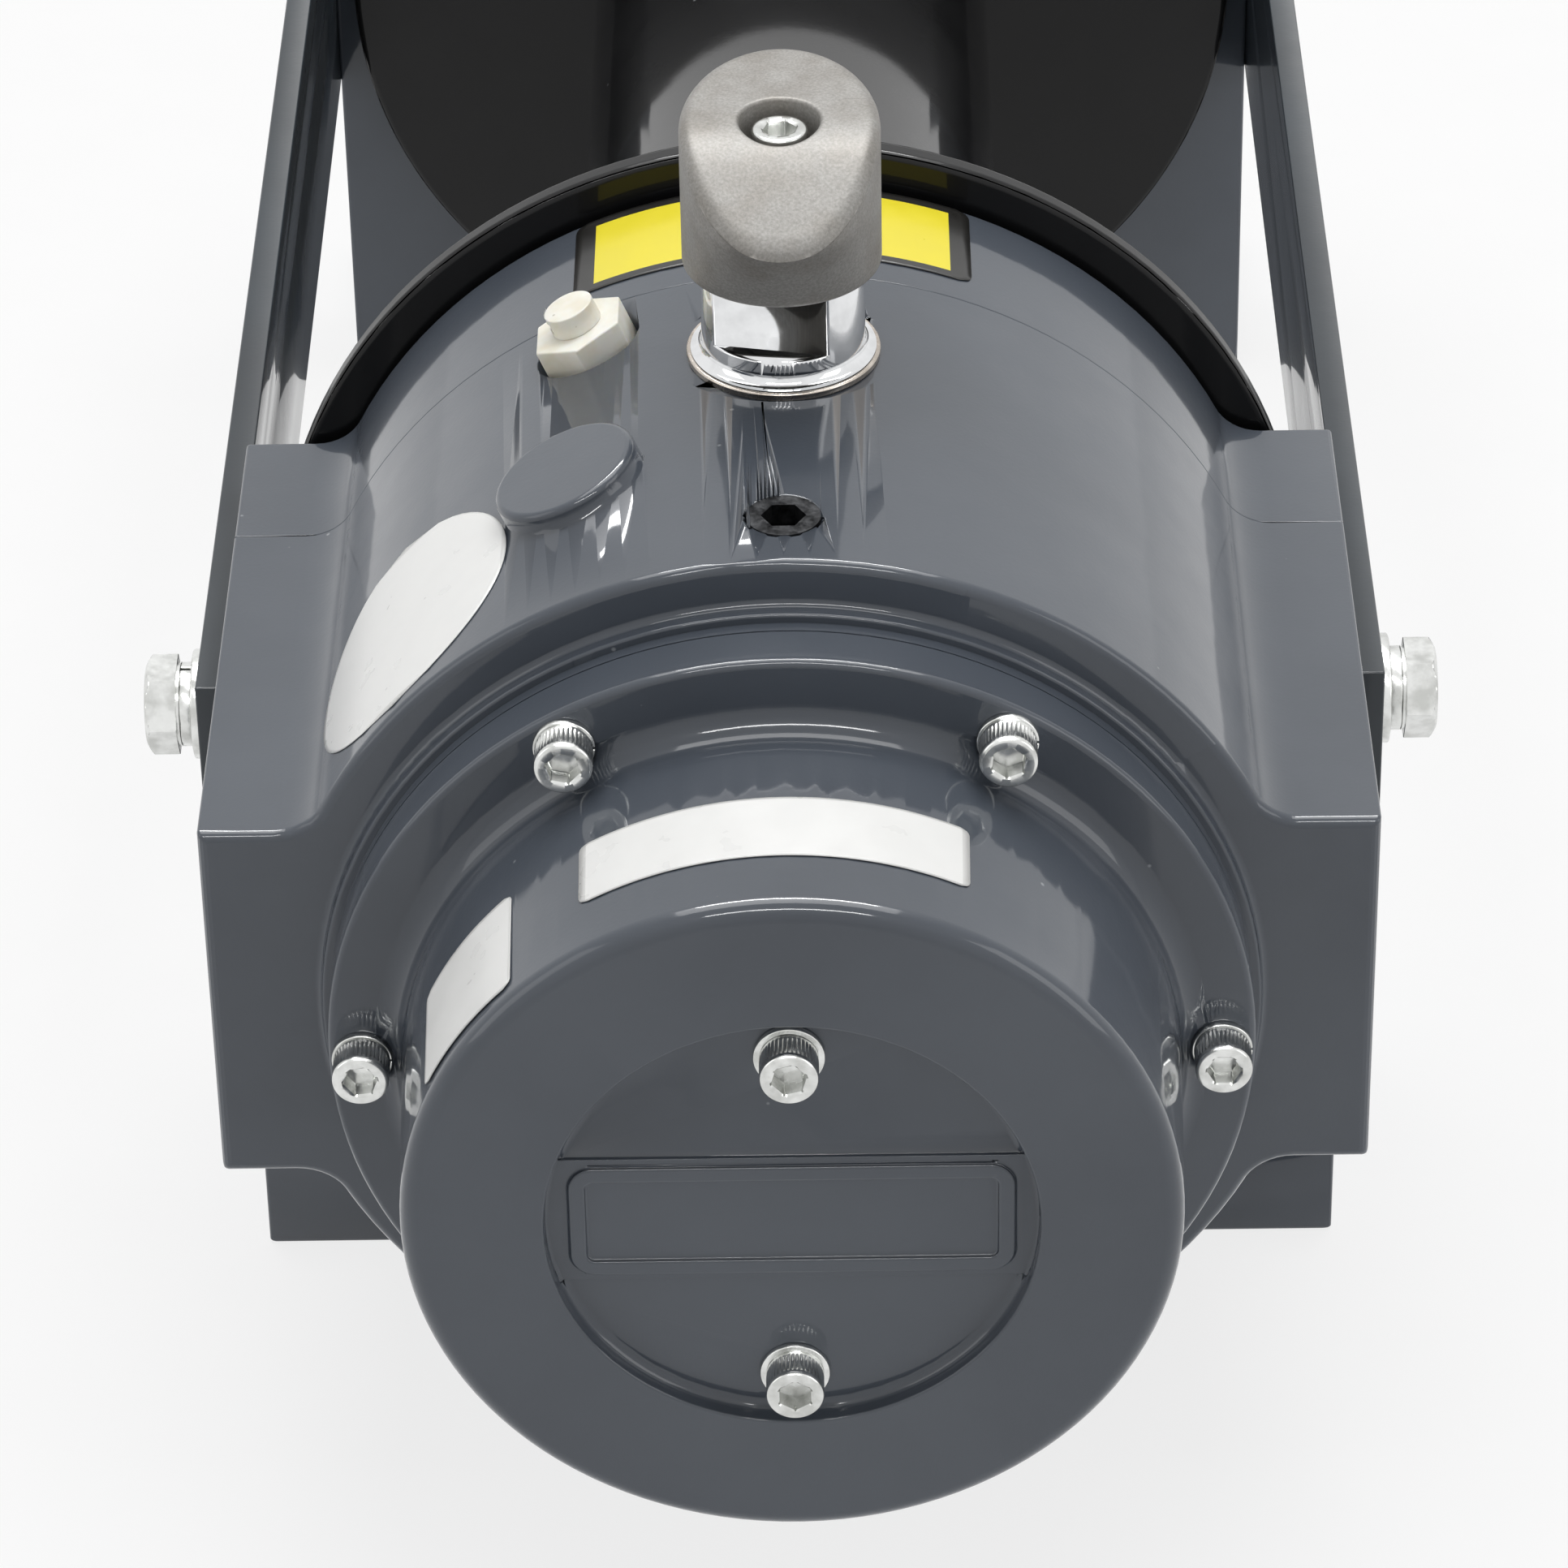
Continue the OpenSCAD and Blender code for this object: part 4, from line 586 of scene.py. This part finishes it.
def exact_normals(mesh, forms):
    """Gives corners that lie on one of the forms that form's exact normal, so
    that round walls mirror evenly: they must be within 0.03 mm of it and their
    present normal within 25 degrees of its normal. Other faces of more than
    40 square millimetres are flat, and their corners get the face's normal."""
    near, cos_25, flat_area = 0.03, 0.906, 40 * MM**2
    count = len(mesh.loops)
    normals = np.empty(count * 3, np.float32)
    mesh.corner_normals.foreach_get("vector", normals)
    normals = normals.reshape(-1, 3).astype(float)
    corners = np.empty(count, np.int32)
    mesh.loops.foreach_get("vertex_index", corners)
    places = np.empty(len(mesh.vertices) * 3, np.float32)
    mesh.vertices.foreach_get("co", places)
    points = places.reshape(-1, 3)[corners].astype(float) / MM
    free = np.ones(count, bool)
    for form in forms:
        for gap, exact in form(points):
            agree = np.einsum("ij,ij->i", exact, normals)
            chosen = free & (gap < near) & (np.abs(agree) > cos_25)
            normals[chosen] = exact[chosen] * np.sign(agree[chosen])[:, None]
            free &= ~chosen
    sides = len(mesh.polygons)
    area, facing, sizes = np.empty(sides), np.empty(sides * 3, np.float32), np.empty(sides, int)
    mesh.polygons.foreach_get("area", area)
    mesh.polygon_normals.foreach_get("vector", facing)
    mesh.polygons.foreach_get("loop_total", sizes)
    facing = np.repeat(facing.reshape(-1, 3), sizes, axis=0)
    flat = free & (np.repeat(area, sizes) > flat_area) & (
        np.einsum("ij,ij->i", facing, normals) > cos_25)
    normals[flat] = facing[flat]
    mesh.normals_split_custom_set(normals.astype(np.float32))


def softened(node, body, slot, width, rule=None, material=None, segments=3, forms=()):
    """A merged copy of a CAD node with rounded edges. The rule gives the radius
    in millimetres at the middle of each sharp edge, from arrays x, y, z, the
    distance from the drum axis and the usual width; without one that width is
    everywhere. The round walls named in forms get their exact normals."""
    same_point, flat_angle, sharp_angle = 0.002 * MM, math.radians(0.6), math.radians(32)
    mesh = frame["nodes"][node].data.copy()
    mesh.materials.clear()
    work = bmesh.new()
    work.from_mesh(mesh)
    bmesh.ops.remove_doubles(work, verts=work.verts, dist=same_point)
    bmesh.ops.dissolve_limit(
        work, angle_limit=flat_angle, verts=work.verts, edges=work.edges)
    work.to_mesh(mesh)
    work.free()
    mesh.shade_smooth()
    mesh.set_sharp_from_angle(angle=sharp_angle)
    ends = np.empty(len(mesh.edges) * 2, np.int32)
    mesh.edges.foreach_get("vertices", ends)
    places = np.empty(len(mesh.vertices) * 3)
    mesh.vertices.foreach_get("co", places)
    x, y, z = places.reshape(-1, 3)[ends.reshape(-1, 2)].mean(1).T / MM
    sharp = np.zeros(len(mesh.edges), bool)
    mesh.attributes["sharp_edge"].data.foreach_get("value", sharp)
    wanted = np.full(len(x), float(width))
    if rule is not None:
        wanted = rule(x, y, z, np.hypot(x, z - AXIS_H), wanted)
    weight = mesh.attributes.new("bevel_weight_edge", "FLOAT", "EDGE")
    share = np.where(sharp, wanted, 0) / wanted.max()
    weight.data.foreach_set("value", share.astype(np.float32))
    mesh.attributes.remove(mesh.attributes["sharp_edge"])
    piece = add_piece(node + "_skin", mesh, body, slot, material)
    bevel = piece.modifiers.new("rounded edges", "BEVEL")
    bevel.width = wanted.max() * MM
    bevel.segments = segments
    bevel.limit_method = "WEIGHT"
    bevel.use_clamp_overlap = False
    bevel.harden_normals = True
    bevel.miter_outer = "MITER_ARC"
    if forms:
        bpy.context.view_layer.update()
        graph = bpy.context.evaluated_depsgraph_get()
        rounded = bpy.data.meshes.new_from_object(piece.evaluated_get(graph), depsgraph=graph)
        exact_normals(rounded, forms)
        piece.modifiers.clear()
        piece.data = rounded
    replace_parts(piece, node)


# ---------------------------------------------------------------- castings


Y_AXIS = (0, 1, 0)
Z_AXIS = (0, 0, 1)
DRUM_AXIS = (0, 0, AXIS_H)
BOSS_LEAN = math.radians(24)
BOSS_R, BOSS_FACE_R, BOSS_ROUND = 15.7, 109.9, 1.5
SPIGOT_R, SPIGOT_ROOT = 97, 1.75
EAR_X, EAR_Z, EAR_FILLET = 104.94, 54.7, 11.5
BORE_R = 95  # all bores and recesses of the castings lie within it

EAR_FILLETS = [
    turned_form((s * EAR_X, 0, AXIS_H + t * EAR_Z), Y_AXIS, tube(EAR_FILLET))
    for s in (-1, 1) for t in (-1, 1)]
ROUND_CASTING = turned_form(DRUM_AXIS, Y_AXIS, tube(CASTING_R))
HOUSING_FORMS = [
    ROUND_CASTING,
    *EAR_FILLETS,
    turned_form(
        DRUM_AXIS, Y_AXIS, tube(SPIGOT_R),
        (SPIGOT_R + SPIGOT_ROOT, HOUSING_Y - SPIGOT_ROOT, SPIGOT_ROOT)),
    turned_form(
        (0, BOSS_Y, AXIS_H), (-math.sin(BOSS_LEAN), 0, math.cos(BOSS_LEAN)),
        tube(BOSS_R, 90, BOSS_FACE_R), (BOSS_R - BOSS_ROUND, BOSS_FACE_R, BOSS_ROUND)),
    turned_form((0, CLUTCH_Y, AXIS_H), Z_AXIS, tube(SPOT_R, 90, 120)),
]
COVER_FORMS = [turned_form(
    (0, NOSE_Y, AXIS_H), Y_AXIS,
    (73.7, 4, 4),  # the rounded nose
    (85.5, 53.1, 6),  # fillet between neck and flange
    (93.6, 60.6, 1.5),  # edge of the flange
    (77.7, 4, 79.5, 53.1),  # cone of the neck
    tube(95.1, 60.6, 70.6),  # wall of the flange
    tube(49.1, -1, 2.4),  # wall of the recess
    (46.9, 2.4, 2.2),  # fillet in the recess
)]
MOTOR_FORMS = [turned_form(
    DRUM_AXIS, Y_AXIS,
    tube(43, 0),  # housing
    tube(52, 0),  # gerotor section and end cap
    tube(41.25, 0),  # pilot
    (49, 307.1, 3),  # edge of the end cap
)]
DRUM_FORMS = [turned_form(DRUM_AXIS, Y_AXIS, tube(BARREL_R), tube(DRUM_FLANGE_R))]
SLEEVE_FORMS = [turned_form(
    (0, CLUTCH_Y, 0), Z_AXIS, tube(SLEEVE_R, 0), tube(SLEEVE_WASHER_R, 0))]


def housing_edges(x, y, z, r, width):
    """Cast outline in front rounded by 2.1 mm; seam, vent pocket and all that
    lies inside tight; boss and the clutch's spot face nearly sharp."""
    on_edge, tight = 0.3, 0.3
    rim = (np.abs(y - HOUSING_Y) < on_edge) & (r > 103)
    seam = np.abs(y - SEAM_Y) < on_edge
    vent = np.hypot(y - VENT_Y, x - VENT_X) < 15
    spot = (np.abs(np.hypot(x, y - CLUTCH_Y) - SPOT_R) < 0.5) & (z > AXIS_H + 90)
    from_boss = np.hypot(
        x * math.cos(BOSS_LEAN) + (z - AXIS_H) * math.sin(BOSS_LEAN), y - BOSS_Y)
    boss = (from_boss < BOSS_R + 1.3) & (r > 100)
    inside = (r < BORE_R) & ~rim
    width = np.where(rim, 2.1, width)
    width = np.where(spot, 0.15, width)
    width = np.where(boss, 0.25, width)
    return np.where(seam | vent | inside, tight, width)


def bracket_edges(x, y, z, r, width):
    """Tight at the seam and in the bores, rounder on ears and foot."""
    seam = np.abs(y - SEAM_Y) < 0.3
    return np.where(seam | (r < BORE_R), 0.3, width)


def motor_edges(x, y, z, r, width):
    """Edges of the ports and their spot faces nearly sharp."""
    return np.where((z > AXIS_H + 35) & (np.abs(x) < 15.5), 0.2, width)


def cover_edges(x, y, z, r, width):
    """The band and the frame in the nose's recess a little softer."""
    recess = (y < NOSE_Y + 6) & (r < 50)
    return np.where(recess, 0.55, width)


softened("gear_housing", "frame", "grey_paint", 0.7, housing_edges, segments=4,
         forms=HOUSING_FORMS)
softened("gear_cover", "frame", "grey_paint", 0.5, cover_edges, forms=COVER_FORMS)
for bracket in ("drum_bracket", "motor_bracket"):
    softened(bracket, "frame", "grey_paint", 0.9, bracket_edges,
             forms=[ROUND_CASTING, *EAR_FILLETS])
# The rails take the darker copy of the slate grey enamel, a painted shade.
for rail in ("left_rail", "right_rail"):
    softened(rail, "frame", "grey_paint", 0.5, material=SHADED_BAR_GREY)
for part in ("gear_side_flange", "motor_side_flange"):
    softened(part, "drum", "black_drum_paint", 0.8, forms=DRUM_FORMS)
softened("drum_barrel", "drum", "black_drum_paint", 0.8, material=BARREL_BLACK,
         forms=DRUM_FORMS)
for part in ("motor_housing", "motor_end_cap", "gerotor_section"):
    softened(part, "frame", "motor_paint", 0.7, motor_edges, forms=MOTOR_FORMS)
softened("vent_plug", "frame", "white_nylon", 0.4)
softened("vent_cap", "frame", "white_nylon", 0.3)
softened("clutch_sleeve", "frame", "plated_sleeve", 0.35, forms=SLEEVE_FORMS)
softened("clutch_washer", "frame", "plated_sleeve", 0.5, material=WASHER_STEEL,
         forms=SLEEVE_FORMS)
softened("cover_washers", "frame", "zinc_steel", 0.25)
softened("face_washers", "frame", "zinc_steel", 0.25)
softened("rail_lock_washers", "frame", "zinc_steel", 0.35)
softened("rail_flat_washers", "frame", "zinc_steel", 0.4)


# --------------------------------------------------------------- fasteners


def cover_screw_heads():
    """Six screws on a circle round the drum axis, each turned a little more."""
    points, faces = cap_screw(COVER_SCREW_REACH + COVER_WASHER_T)
    heads = [
        (set_down(
            points,
            (COVER_SCREW_R * math.cos(a), COVER_FLANGE_Y - COVER_WASHER_T,
             AXIS_H + COVER_SCREW_R * math.sin(a)),
            (0, -1, 0), (math.cos(a + 0.4 * k), 0, math.sin(a + 0.4 * k))), faces)
        for k, a in enumerate(np.radians(np.arange(6) * 60))]
    mesh = mesh_of("cover_screw_heads", *many(heads))
    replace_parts(add_piece("cover_screw_heads", mesh, "frame", "zinc_steel"), "cover_screws")


def face_screw_heads():
    """Two screws in the recess of the nose, above and below the panel."""
    points, faces = cap_screw(FACE_SCREW_LEN)
    heads = [
        (set_down(
            points, (0, FACE_WASHER_Y, AXIS_H + side * FACE_SCREW_R),
            (0, -1, 0), (math.cos(turn), 0, math.sin(turn))), faces)
        for side, turn in ((1, 0.25), (-1, 0.52))]
    mesh = mesh_of("face_screw_heads", *many(heads))
    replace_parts(add_piece("face_screw_heads", mesh, "frame", "zinc_steel"), "face_screws")


def handle_screw_head():
    """The screw that holds the handle on the plunger."""
    points, faces = cap_screw(HANDLE_SCREW_LEN)
    points = set_down(
        points, (0, CLUTCH_Y, AXIS_H + HANDLE_SEAT_H), Z_AXIS, (0.9781, 0.2079, 0))
    mesh = mesh_of("handle_screw_head", points, faces)
    piece = add_piece("handle_screw_head", mesh, "clutch_handle", "zinc_steel")
    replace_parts(piece, "handle_screw")


def rail_bolt_heads():
    """Four bolts through the ends of the rails, corners fore and aft."""
    points, faces = hex_bolt(
        RAIL_BOLT_D, RAIL_BOLT_FLATS, RAIL_BOLT_HEAD_H, RAIL_BOLT_LEN + RAIL_WASHERS_T)
    out = HALF_W + RAIL_T + RAIL_WASHERS_T
    heads = [
        (set_down(
            points, (side * out, y, AXIS_H + RAIL_BOLT_Z), (side, 0, 0), Y_AXIS), faces)
        for side in (-1, 1)
        for y in (SEAM_Y - RAIL_BOLT_BACK, (MOTOR_IN_Y + MOTOR_OUT_Y) / 2)]
    mesh = mesh_of("rail_bolt_heads", *many(heads), sharp=25)
    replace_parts(add_piece("rail_bolt_heads", mesh, "frame", "zinc_steel"), "rail_bolts")


cover_screw_heads()
face_screw_heads()
handle_screw_head()
rail_bolt_heads()


# ------------------------------------------------------------------ clutch


def handle_top(y):
    """Height of the handle's top at a distance behind its axis: level at the
    back, 31.6 degrees down to the front, the lower of the two planes less the
    logarithm that blends them over some 6 mm."""
    level, bend_y, drop, reach, blend = 160.5, -8.4, 14.5, 23.6, 2.2
    slope = level + (y - bend_y) * drop / reach
    low = np.minimum(level, slope)
    return low - blend * np.log1p(np.exp(-np.abs(level - slope) / blend))


def clutch_handle():
    """The pull handle as one closed grid: an oval wall that widens from a
    circle, rounded over a rim of 2.8 mm on to the top, in to the bore, down to
    the screw's seat and through to the cup that slides over the sleeve."""
    turns = 160
    angle = np.arange(turns) * 2 * math.pi / turns
    cos, sin = np.cos(angle), np.sin(angle)
    narrow, long, widening = 20.7, 32, 18.5
    rim, foot, mouth_round, cup_chamfer = 2.8, 1.3, 0.8, 0.6
    low, near_widest, cup_top, seat = HANDLE_LOW_H, 143.0, 145.5, HANDLE_SEAT_H
    bore_r, screw_r, cup_r = 8.4, 4.2, 17.6
    mouth_r = bore_r + mouth_round

    def wall(z, inset):
        reach = narrow + (long - narrow) * np.clip((z - low) / widening, 0, 1)
        return np.stack([(narrow - inset) * cos, (reach - inset) * sin], -1)

    def ring(r):
        return np.stack([r * cos, r * sin], -1)

    rows = []
    for a in np.radians([0, 22, 45, 67, 90]):
        z = np.full(turns, low + foot * (1 - math.cos(a)))
        rows.append((wall(z, foot * (1 - math.sin(a))), z))
    upper = wall(np.full(turns, near_widest), 0)
    shoulder = handle_top(upper[:, 1]) - rim
    for share in np.linspace(0, 1, 14)[1:]:
        z = (low + foot) * (1 - share) + shoulder * share
        rows.append((wall(z, 0), z))
    for a in np.radians([15, 30, 45, 60, 75, 90]):
        flat = wall(shoulder, rim * (1 - math.cos(a)))
        rows.append((flat, handle_top(flat[:, 1]) - rim * (1 - math.sin(a))))
    inner, mouth = wall(shoulder, rim), ring(mouth_r)
    for share in np.linspace(0, 1, 26)[1:]:
        flat = inner * (1 - share) + mouth * share
        rows.append((flat, handle_top(flat[:, 1])))
    for a in np.radians([30, 60, 90]):
        flat = ring(mouth_r - mouth_round * math.sin(a))
        rows.append((flat, handle_top(flat[:, 1]) - mouth_round * (1 - math.cos(a))))
    for r, z in ((bore_r, seat), (screw_r, seat), (screw_r, cup_top), (cup_r, cup_top),
                 (cup_r, low + cup_chamfer), (cup_r + cup_chamfer, low)):
        rows.append((ring(r), np.full(turns, z)))
    points = np.stack([np.column_stack([flat, z]) for flat, z in rows])
    points = points + [0, CLUTCH_Y, AXIS_H]
    mesh = mesh_of("pull_handle", points, quads(len(rows), turns, True, True), 38)
    piece = add_piece("pull_handle", mesh, "clutch_handle", "cast_handle")
    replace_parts(piece, "clutch_handle")


def sleeve_root():
    """The small concave fillet between the sleeve and its washer: a closed ring
    whose profile is a quarter circle of 2.3 mm and two straight sides, which
    run inside the sleeve and just over the washer."""
    turns, root, clear, lift, inside = 128, 2.3, 0.02, 0.15, 0.2
    low = SLEEVE_ROOT_H
    a = np.radians(np.linspace(0, 90, 9))
    inner = [SLEEVE_R - inside] * 2
    radius = np.concatenate([SLEEVE_R + root - root * np.cos(a) + clear, inner])
    height = np.concatenate(
        [low + lift + root - root * np.sin(a), [low + lift - 0.1, low + root + lift]])
    angle = np.arange(turns) * 2 * math.pi / turns
    points = np.stack([
        radius[:, None] * np.cos(angle), CLUTCH_Y + radius[:, None] * np.sin(angle),
        np.repeat(AXIS_H + height[:, None], turns, 1)], -1)
    faces = [side[::-1] for side in quads(len(radius), turns, True, True)]
    add_piece("sleeve_root_fillet", mesh_of("sleeve_root_fillet", points, faces),
              "frame", "plated_sleeve")


clutch_handle()
sleeve_root()


# ------------------------------------------------------------------ labels


def curved_label(name, radii, stations, leans, corner, material):
    """A blank label on a round casting: a grid in lean and station whose rows
    shorten as a circle does at its rounded corners, lifted 0.12 mm and made
    0.15 mm thick. The radii are those of the casting at the two stations, which
    count back from the nose; the leans are degrees from upright."""
    rows, columns, lift, thick = 33, 49, 0.12, 0.15
    s, t = np.meshgrid(np.linspace(-1, 1, columns), np.linspace(-1, 1, rows))
    y0, y1 = stations
    mean_r = sum(radii) / 2
    half_l = math.radians(abs(leans[1] - leans[0])) * mean_r / 2
    half_h = (y1 - y0) / 2
    into = np.clip(np.abs(t) * half_h - (half_h - corner), 0, None)
    half_row = half_l - corner + np.sqrt(np.clip(corner**2 - into**2, 0, None))
    lean = math.radians(sum(leans) / 2) + s * half_row / mean_r
    y = (y0 + y1) / 2 + t * half_h
    r = radii[0] + (radii[1] - radii[0]) * (t + 1) / 2 + lift
    points = np.stack([r * np.sin(lean), NOSE_Y + y, AXIS_H + r * np.cos(lean)], -1)
    mesh = mesh_of(name, points, quads(rows, columns, False, False))
    corners = np.empty(len(mesh.loops), np.int32)
    mesh.loops.foreach_get("vertex_index", corners)
    along = np.stack([s * half_row / half_l, t], -1).reshape(-1, 2) / 2 + 0.5
    own = mesh.uv_layers.new(name="label")
    own.data.foreach_set("uv", along[corners].astype(np.float32).ravel())
    piece = add_piece(name, mesh, "frame", material=material)
    shell = piece.modifiers.new("vinyl", "SOLIDIFY")
    shell.thickness = thick * MM
    shell.offset = 1


ON_CASTING = (CASTING_R, CASTING_R)
curved_label("bracket_label", ON_CASTING, (199.5, 230), (-25, 22), 3, YELLOW_LABEL)
curved_label("round_label", ON_CASTING, (80.6, 140.0), (-63.8, -32), 29.6, WHITE_LABEL)
curved_label("neck_bar_label", (78.2, 78.8), (16.5, 35.5), (-31, 27), 2, WHITE_LABEL)
curved_label("neck_side_label", (77.9, 78.8), (5.5, 35), (-66, -43.5), 2, WHITE_LABEL)


# The nodes that keep their CAD shape take the finish of their slot
for part in frame["record"]["subparts"]:
    node = frame["nodes"][part["node"]]
    node.data.materials.clear()
    node.data.materials.append(FINISH[part["material_slot"]])


# ------------------------------------------------------------------ studio


def area_lamp(name, place, aim, size, power, mirrored_only=False):
    """A rectangular softbox; place, aim and size in metres, power in watts. One
    that is mirrored only draws bright lines in gloss and adds no matt light."""
    data = bpy.data.lights.new(name, "AREA")
    data.shape = "RECTANGLE"
    data.size, data.size_y = size
    data.energy = power
    lamp = in_scene(name, data)
    lamp.location = place
    lamp.rotation_euler = (Vector(aim) - Vector(place)).to_track_quat("-Z", "Y").to_euler()
    lamp.visible_diffuse = not mirrored_only


def shown_as_background(tree):
    """A socket that is 1 for a ray from the camera, a mirror or a clear piece."""
    ray = add_node(tree, "ShaderNodeLightPath", {})
    seen = add_node(tree, "ShaderNodeMath", {
        "operation": "MAXIMUM", 0: ray["Is Camera Ray"], 1: ray["Is Glossy Ray"]})
    return add_node(tree, "ShaderNodeMath", {
        "operation": "MAXIMUM", 0: seen["Value"], 1: ray["Is Transmission Ray"]})["Value"]


def studio():
    """White paper floor that keeps the shadow and in part glows as background,
    air that is white where it is seen and dim as light, a softbox overhead and
    a little behind, weaker ones at the sides, and two strips, one behind and
    one in front, that draw thin lines on rounded edges."""
    half, glowing, air = 6, 0.78, 0.35
    corners = [(-half, -half, 0), (half, -half, 0), (half, half, 0), (-half, half, 0)]
    mesh = mesh_of("studio_floor", np.array(corners, float) / MM, [(0, 1, 2, 3)])
    floor = in_scene("studio_floor", mesh)
    paper, tree, shader, place = new_material("matt_white_paper")
    fibre = add_node(tree, "ShaderNodeTexNoise", {
        "Vector": place, "Scale": METRE / 30, "Detail": 3.0})
    tone = add_node(tree, "ShaderNodeValToRGB", {
        "Fac": fibre["Fac"], "stops": [(0.3, "#F8F8F8"), (0.7, "#FCFCFC")]})
    add_node(tree, shader, {"Base Color": tone["Color"], "Roughness": 0.9})
    glow = add_node(tree, "ShaderNodeEmission", {"Color": (1, 1, 1, 1), "Strength": 1.0})
    share = add_node(tree, "ShaderNodeMath", {
        "operation": "MULTIPLY", 0: shown_as_background(tree), 1: glowing})
    both = add_node(tree, "ShaderNodeMixShader", {
        0: share["Value"], 1: shader.outputs["BSDF"], 2: glow["Emission"]})
    add_node(tree, tree.nodes["Material Output"], {"Surface": both["Shader"]})
    mesh.materials.append(paper)

    world = bpy.data.worlds.new("studio_air")
    bpy.context.scene.world = world
    world.use_nodes = True
    tree = world.node_tree
    dim = add_node(tree, "ShaderNodeBackground", {"Color": (1, 1, 1, 1), "Strength": air})
    white = add_node(tree, "ShaderNodeBackground", {"Color": (1, 1, 1, 1), "Strength": 1.0})
    both = add_node(tree, "ShaderNodeMixShader", {
        0: shown_as_background(tree), 1: dim["Background"], 2: white["Background"]})
    add_node(tree, tree.nodes["World Output"], {"Surface": both["Shader"]})

    area_lamp("softbox_overhead", (0.0, 0.12, 1.75), (0, -0.2, 0.1), (1.6, 1.1), 20)
    area_lamp("strip_overhead", (0.0, 0.56, 1.74), (0, -0.3, 0.2), (1.3, 0.2), 24, True)
    area_lamp("strip_in_front", (0.0, -1.48, 1.72), (0, -0.3, 0.2), (1.2, 0.14), 12, True)
    area_lamp("softbox_left", (-1.6, -0.7, 0.9), (0, -0.1, 0.15), (0.8, 1.2), 3)
    area_lamp("softbox_right", (1.6, -0.9, 0.9), (0, -0.1, 0.15), (0.8, 1.2), 5)


bpy.context.scene.view_settings.view_transform = "Standard"
studio()
